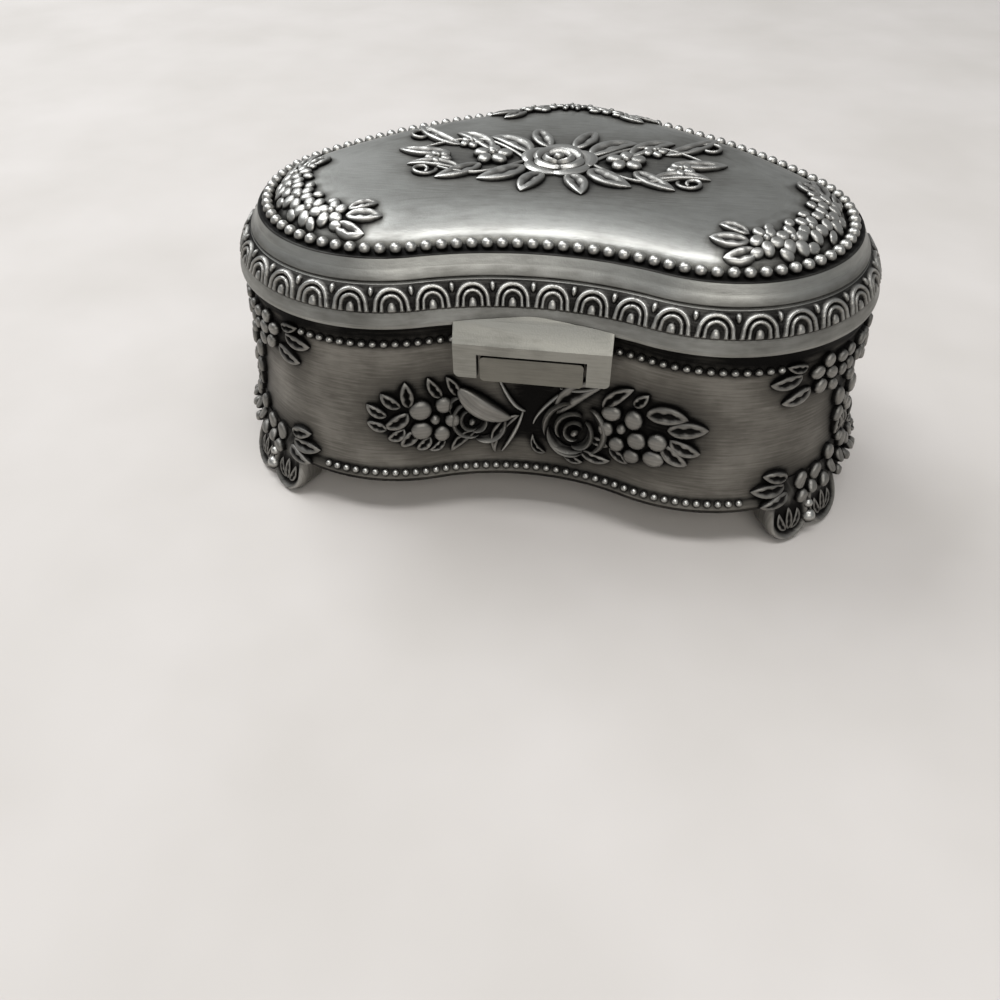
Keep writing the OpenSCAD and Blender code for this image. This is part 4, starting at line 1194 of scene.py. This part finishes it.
@dataclass
class ScrollFoot(MetalPart):
    """A cast foot: two lobes side by side, each with a thin rim round a hollow that holds three small leaves."""

    lobe_r: float = 4.3
    apart: float = 4.05
    top: float = 11.4

    def reach(self, z: np.ndarray) -> np.ndarray:
        """How far the face stands out at height z: 2.5 + 3.6 (1 - (z / 11.4)^1.15), flowing out of the wall."""
        return 2.5 + 3.6 * (1 - np.clip(z / self.top, 0, 1) ** 1.15)

    def lobe(self, middle: float, side: float, k: float) -> Shell:
        """One lobe: a closed tube from the ground up, U-shaped in front view.

        The half width at height z is sqrt(r^2 - (r - z)^2) up to r and r above. With rho the share of the
        way from the U's middle to its edge, the face has a rim, 0.5 exp(-((rho - 0.86) / 0.11)^2), a
        hollow inside it that fades upward, and an edge that rounds off as rho^10.
        """
        r = self.lobe_r
        z = 0.03 + (self.top - 0.03) * np.linspace(0, 1, 36) ** 1.35
        half = np.maximum(root(r**2 - np.clip(r - z, 0, r) ** 2), 0.3)
        b = np.sin(np.linspace(-math.pi / 2, math.pi / 2, 31))
        uu, zz = b[None] * half[:, None], np.broadcast_to(z[:, None], (len(z), len(b)))
        rho = np.hypot(uu, np.clip(zz - r, None, 0)) / r
        fade = 1 - smoothstep(zz, 4.6, 8.4)
        rim = np.exp(-(((rho - 0.86) / 0.11) ** 2)) * (0.25 + 0.75 * fade)
        hollow = (1 - smoothstep(rho, 0.6, 0.82)) * fade
        face = self.reach(zz) + 0.5 * rim - 0.55 * hollow - 1.3 * np.clip(rho, 0, 1) ** 10
        tone = np.clip(0.6 + 0.5 * hollow - 0.34 * rim + 0.25 * smoothstep(zz, 8.0, 10.5), 0, 1)
        rear_u = np.array([0.97, 0.5, 0.0, -0.5, -0.97])[None] * half[:, None]
        # The rear stands on the ground below the shell and lies inside the wall's thickness above it
        rear = np.where(z < AT.shell, self.reach(z) - 5.2, wall_reach(z) - 1.1)[:, None] + 0 * rear_u
        run = side * self.apart + np.concatenate([uu, rear_u], 1)
        points = raised(self.heart.at(middle + run * k, np.concatenate([face, rear], 1)), z[:, None])
        return spindles(points[None], np.concatenate([tone, np.full(rear_u.shape, 0.5)], 1)[None])

    def leaves(self, middle: float, side: float, k: float) -> Shell:
        """Three small leaves that fan upward in the lobe's hollow."""

        def ground(s: np.ndarray, z: np.ndarray, h: np.ndarray) -> np.ndarray:
            """The hollow's floor."""
            return raised(self.heart.at(s, self.reach(z) - 0.6 + h), z)

        carving = Carving(ground, Halo((0, 1, 0, 1)), 0.35)
        centre = middle + side * self.apart * k
        carving.leaves([
            (centre, 1.9, centre, 5.9, 1.3, 0.0), (centre - 0.5 * k, 1.9, centre - 1.9 * k, 5.2, 1.3, 0.12),
            (centre + 0.5 * k, 1.9, centre + 1.9 * k, 5.2, 1.3, -0.12),
        ], 0.5)
        return carving.shell()

    def shell(self, middle: float) -> Shell:
        """The whole foot, with two beads over the cusp between its lobes."""
        k = self.heart.shrink(middle, 5.0)
        parts = [make(middle, side, k) for side in (-1.0, 1.0) for make in (self.lobe, self.leaves)]
        for z, radius in ((3.1, 1.25), (5.4, 0.85)):
            place = raised(self.heart.at(middle, self.reach(z) - 0.1), z)
            parts.append(beads(place[None], radius, 20, 12))
        return joined(parts)


def softened_copy(node: bpy.types.Object, name: str, width: float) -> bpy.types.Object:
    """A copy of a CAD node with its doubles merged, its flat faces joined and its edges bevelled.

    Args:
        node: the CAD node.
        name: the copy's name.
        width: the bevel's width in mm.

    Returns:
        The linked copy.
    """
    mesh = node.data.copy()
    mesh.name = name
    work = bmesh.new()
    work.from_mesh(mesh)
    bmesh.ops.remove_doubles(work, verts=work.verts, dist=2e-6)
    bmesh.ops.dissolve_limit(work, angle_limit=math.radians(0.8), verts=work.verts, edges=work.edges)
    work.to_mesh(mesh)
    work.free()
    for old in list(mesh.uv_layers):
        mesh.uv_layers.remove(old)
    mesh.attributes.new("patina", "FLOAT", "POINT")
    sharp = 28.0
    piece = shown(mesh, points_of(mesh)[corners_of(mesh)][:, [0, 2]], sharp)
    piece.name = name
    bevel = piece.modifiers.new("eased_edges", "BEVEL")
    bevel.width, bevel.segments = width * MM, 3
    bevel.limit_method, bevel.angle_limit = "ANGLE", math.radians(sharp)
    bevel.use_clamp_overlap = bevel.harden_normals = True
    return piece


@dataclass
class Fittings(MetalPart):
    """Clasp, catch, hinge and base, carried over from the CAD with eased edges, and the three feet."""

    foot_s: float = 45.56
    clasp_half: float = 11.8
    clasp_front: float = -36.02
    slope_run: float = 2.95
    slope_rise: float = 3.7
    slope_from: float = 33.4
    skirt_r: float = 45.5

    def raise_slope(self, piece: bpy.types.Object) -> None:
        """Lifts the clasp's sloped top so that it climbs the lid's hollow edge by nearly as much at its ends.

        With f the share of the way from the front edge to the skirt, whose hollow edge has the radius
        skirt_r, the plane's height f0 x rise becomes f x (rise - 0.5 (x / half)^2).
        """
        p = points_of(piece.data)
        deep = p[:, 1] - self.clasp_front
        share = np.clip(deep / (self.slope_run - self.skirt_r + np.sqrt(self.skirt_r**2 - p[:, 0] ** 2)), 0, 1)
        curved = share * (self.slope_rise - 0.5 * (p[:, 0] / self.clasp_half) ** 2)
        plane = np.clip(deep / self.slope_run, 0, 1) * self.slope_rise
        p[:, 2] += np.where((p[:, 2] > self.slope_from) & (share > 0), curved - plane, 0)
        piece.data.vertices.foreach_set("co", (p * MM).ravel())
        piece.data.update()

    def build(
        self, nodes: dict, clasp: bpy.types.Material, catch: bpy.types.Material, pewter: bpy.types.Material,
        steel: bpy.types.Material,
    ) -> None:
        """Makes an eased copy of each fitting and dresses it."""
        plan = (
            ("clasp_tab", Part.LID, "clasp_metal", clasp, 0.28),
            ("catch_block", Part.BOX, "clasp_metal", catch, 0.2),
            ("hinge_bracket", Part.BOX, "clasp_metal", clasp, 0.15),
            ("hinge_knuckle", Part.LID, "clasp_metal", clasp, 0.15),
            ("hinge_pin", Part.BOX, "pin_steel", steel, 0.1),
            ("base_plate", Part.BOX, "base_metal", pewter, 0.15),
        )
        for node, part, slot, material, width in plan:
            piece = softened_copy(nodes[node], f"{node}_eased", width)
            if node == "clasp_tab":
                self.raise_slope(piece)
            self.put(piece, part, slot, material, (node,))
        foot = ScrollFoot(self.heart)
        for node, middle in (("left", -self.foot_s), ("right", self.foot_s), ("back", self.heart.half())):
            piece = mesh_piece(f"foot_{node}_cast", foot.shell(middle))
            self.put(piece, Part.BOX, "body_metal", pewter, (f"foot_{node}",))


@dataclass
class Lining(MetalPart):
    """Velvet: the wall strip, the floor pad and the pad in the lid, with its board."""

    def strip(self) -> Shell:
        """The wall strip: a thin closed profile that follows the wall's inner face."""
        z = np.linspace(8.7, 33.3, 16)
        back = np.stack([wall_reach(np.maximum(z, AT.wall)) - 1.72, z], -1)
        return hoop(self.sweep(eased(np.concatenate([back, back[::-1] - [0.85, 0]]), 0.3, 3)))

    def pad(self, reach: float, low: float, thick: float, up: float) -> Shell:
        """A padded heart: the height goes as thick (1 - (1 - t)^3)^0.5, t from the edge inward over 9 mm.

        Args:
            reach: the pad's edge outside the bead line, in mm.
            low: the height of its flat side.
            thick: its thickness in the middle.
            up: 1 for a pad that crowns upward, -1 for one that hangs.

        Returns:
            The closed pad, flat on one side.
        """
        share = np.linspace(0, 1, 16) ** 1.4
        rise = thick * (0.3 + 0.7 * np.sqrt(1 - (1 - share) ** 3))
        profile = np.stack([reach - share * 9.0, low + up * rise], -1)
        sweep = self.lid_sweep if up < 0 else self.sweep
        top = sweep(np.concatenate([[[reach - 0.15, low]], profile]))
        points = np.concatenate([top, drawn_in(top[-1], 1, low + up * thick)])
        rows, cols = points.shape[:2]
        caps = [fan(rows - 1, cols, rows * cols), fan(0, cols, rows * cols + 1, True)]
        poles = np.array([[*MIDDLE, low + up * thick], [*MIDDLE, low]])
        quads = lattice(rows, cols, False, True)
        return Shell(np.concatenate([points.reshape(-1, 3), poles]), quads, caps).outward()

    def build(self, nodes: dict, velvet: bpy.types.Material, board: bpy.types.Material) -> None:
        """Makes the lining and dresses it."""
        strip = mesh_piece("velvet_wall_strip", self.strip())
        self.put(strip, Part.BOX, "velvet", velvet, ("wall_lining",))
        reach = float(wall_reach(12.1)) - AT.cast - 0.2 - 0.9
        floor = mesh_piece("velvet_floor_pad", self.pad(reach, 8.55, 3.55, 1.0))
        self.put(floor, Part.BOX, "velvet", velvet, ("floor_pad",))
        hung = mesh_piece("velvet_lid_pad", self.pad(0.0, 40.6, 1.78, -1.0))
        self.put(hung, Part.LID, "velvet", velvet, ("lid_pad",))
        nodes["lid_card"].data.materials.clear()
        nodes["lid_card"].data.materials.append(board)
        LOG.info("lid_card: board")


@dataclass(frozen=True)
class Studio:
    """Camera at the photograph's angle, a pale floor and soft lamps."""

    place: tuple[float, float, float] = (12.342, -140.43, 103.36)
    pitch: float = 43.379
    yaw: float = -9.354
    roll: float = -0.632
    focal: float = 0.85
    floor_half: float = 2500.0
    world: str = "#cfd1d3"
    world_strength: float = 0.46

    def camera(self) -> None:
        """Aims the camera: forward from pitch and yaw, then a small roll about it."""
        p, y, r = (math.radians(v) for v in (self.pitch, self.yaw, self.roll))
        ahead = Vector((math.sin(y) * math.cos(p), math.cos(y) * math.cos(p), -math.sin(p)))
        level = Vector((math.cos(y), -math.sin(y), 0))
        down = Vector((-math.sin(p) * math.sin(y), -math.sin(p) * math.cos(y), -math.cos(p)))
        right = math.cos(r) * level - math.sin(r) * down
        up = -(math.sin(r) * level + math.cos(r) * down)
        turn = Matrix((right, up, -ahead)).transposed()
        lens = bpy.data.cameras.new("camera")
        lens.sensor_width, lens.lens = 36.0, 36.0 * self.focal
        lens.clip_start, lens.clip_end = 0.005, 20.0
        view = bpy.data.objects.new("camera", lens)
        view.matrix_world = Matrix.Translation(Vector(self.place) * MM) @ turn.to_4x4()
        bpy.context.scene.collection.objects.link(view)
        bpy.context.scene.camera = view

    def lamp(self, name: str, place: tuple, size: tuple, power: float, colour: str) -> None:
        """A soft rectangular lamp at place, turned to the box; sizes in metres."""
        light = bpy.data.lights.new(name, "AREA")
        light.shape, light.size, light.size_y = "RECTANGLE", *size
        light.energy, light.color = power, linear(colour)[:3]
        lamp = bpy.data.objects.new(name, light)
        lamp.location = place
        lamp.rotation_mode = "QUATERNION"
        lamp.rotation_quaternion = (Vector((0, 0, 0.03)) - Vector(place)).to_track_quat("-Z", "Y")
        bpy.context.scene.collection.objects.link(lamp)

    def build(self) -> None:
        """Makes the floor, the lamps and the world, and sets the plain view transform."""
        corners = self.floor_half * np.array([[-1.0, -1, 0], [1, -1, 0], [1, 1, 0], [-1, 1, 0]])
        floor = mesh_piece("floor", Shell(corners, np.array([[0, 1, 2, 3]])))
        floor.data.materials.append(PaleTable().make())
        floor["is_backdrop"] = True
        self.camera()
        for lamp in (
            ("window", (-0.55, 0.35, 0.75), (0.7, 0.5), 6.4, "#f4f7fb"),
            ("front_fill", (0.25, -0.9, 0.75), (0.9, 0.5), 3.6, "#fdfaf5"),
            ("overhead", (0.0, -0.12, 0.9), (1.0, 0.2), 4.6, "#fbfbfd"),
        ):
            self.lamp(*lamp)
        world = bpy.data.worlds.new("studio")
        world.use_nodes = True
        sky = world.node_tree.nodes["Background"].inputs
        sky["Color"].default_value, sky["Strength"].default_value = linear(self.world), self.world_strength
        bpy.context.scene.world = world
        bpy.context.scene.view_settings.view_transform = "Standard"


def corners(box: tuple) -> list[list[float]]:
    """A box's two corners as plain lists."""
    return [[float(v) for v in corner] for corner in box]


def main() -> None:
    """Builds the box's sub-assemblies in order, then the studio."""
    logging.basicConfig(level=logging.INFO, format="%(message)s")
    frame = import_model()
    cad_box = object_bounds()
    lid_line = HeartLine(91.0, 59.6, 20.2, 12.5, 51.6, 78.4, 27.975)
    body_line = HeartLine(102.0, 64.8, 24.6, 14.0, 44.0, 90.0, 30.175)
    pewter = AntiquedPewter().make()
    # The wall's copy of the pewter is darker than the lid's: painted shade for the side-facing wall
    wall = AntiquedPewter("shaded_pewter_wall", "#94918a", "#67645e", streak=0.42, rough=0.42).make()
    top = AntiquedPewter("rubbed_pewter_lid", "#b0b0ab", "#7b7a75", streak=0.42, rough=0.4).make()
    clasp = AntiquedPewter("satin_pewter_clasp", "#97968f", "#6c6b65", streak=0.4, rough=0.4).make()
    # The catch's copy of the pewter is darker than the clasp's: painted shade under the clasp tab and the lid's
    # overhang
    catch = AntiquedPewter("shaded_pewter_catch", "#7f7d75", "#5c5a54", streak=0.4, rough=0.44).make()
    steel = AntiquedPewter("drawn_steel_pin", "#c9c9c6", "#a5a5a2", streak=0.2, rough=0.25, bump=0.05).make()
    Studio().build()
    Lid(lid_line).build(pewter, top)
    Body(body_line, lid_line).build(pewter, wall)
    Fittings(body_line).build(frame["nodes"], clasp, catch, pewter, steel)
    Lining(body_line, lid_line).build(frame["nodes"], Velvet().make(), GreyBoard().make())
    {"cad": corners(cad_box), "visual": corners(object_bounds())}


if __name__ == "__main__":
    main()
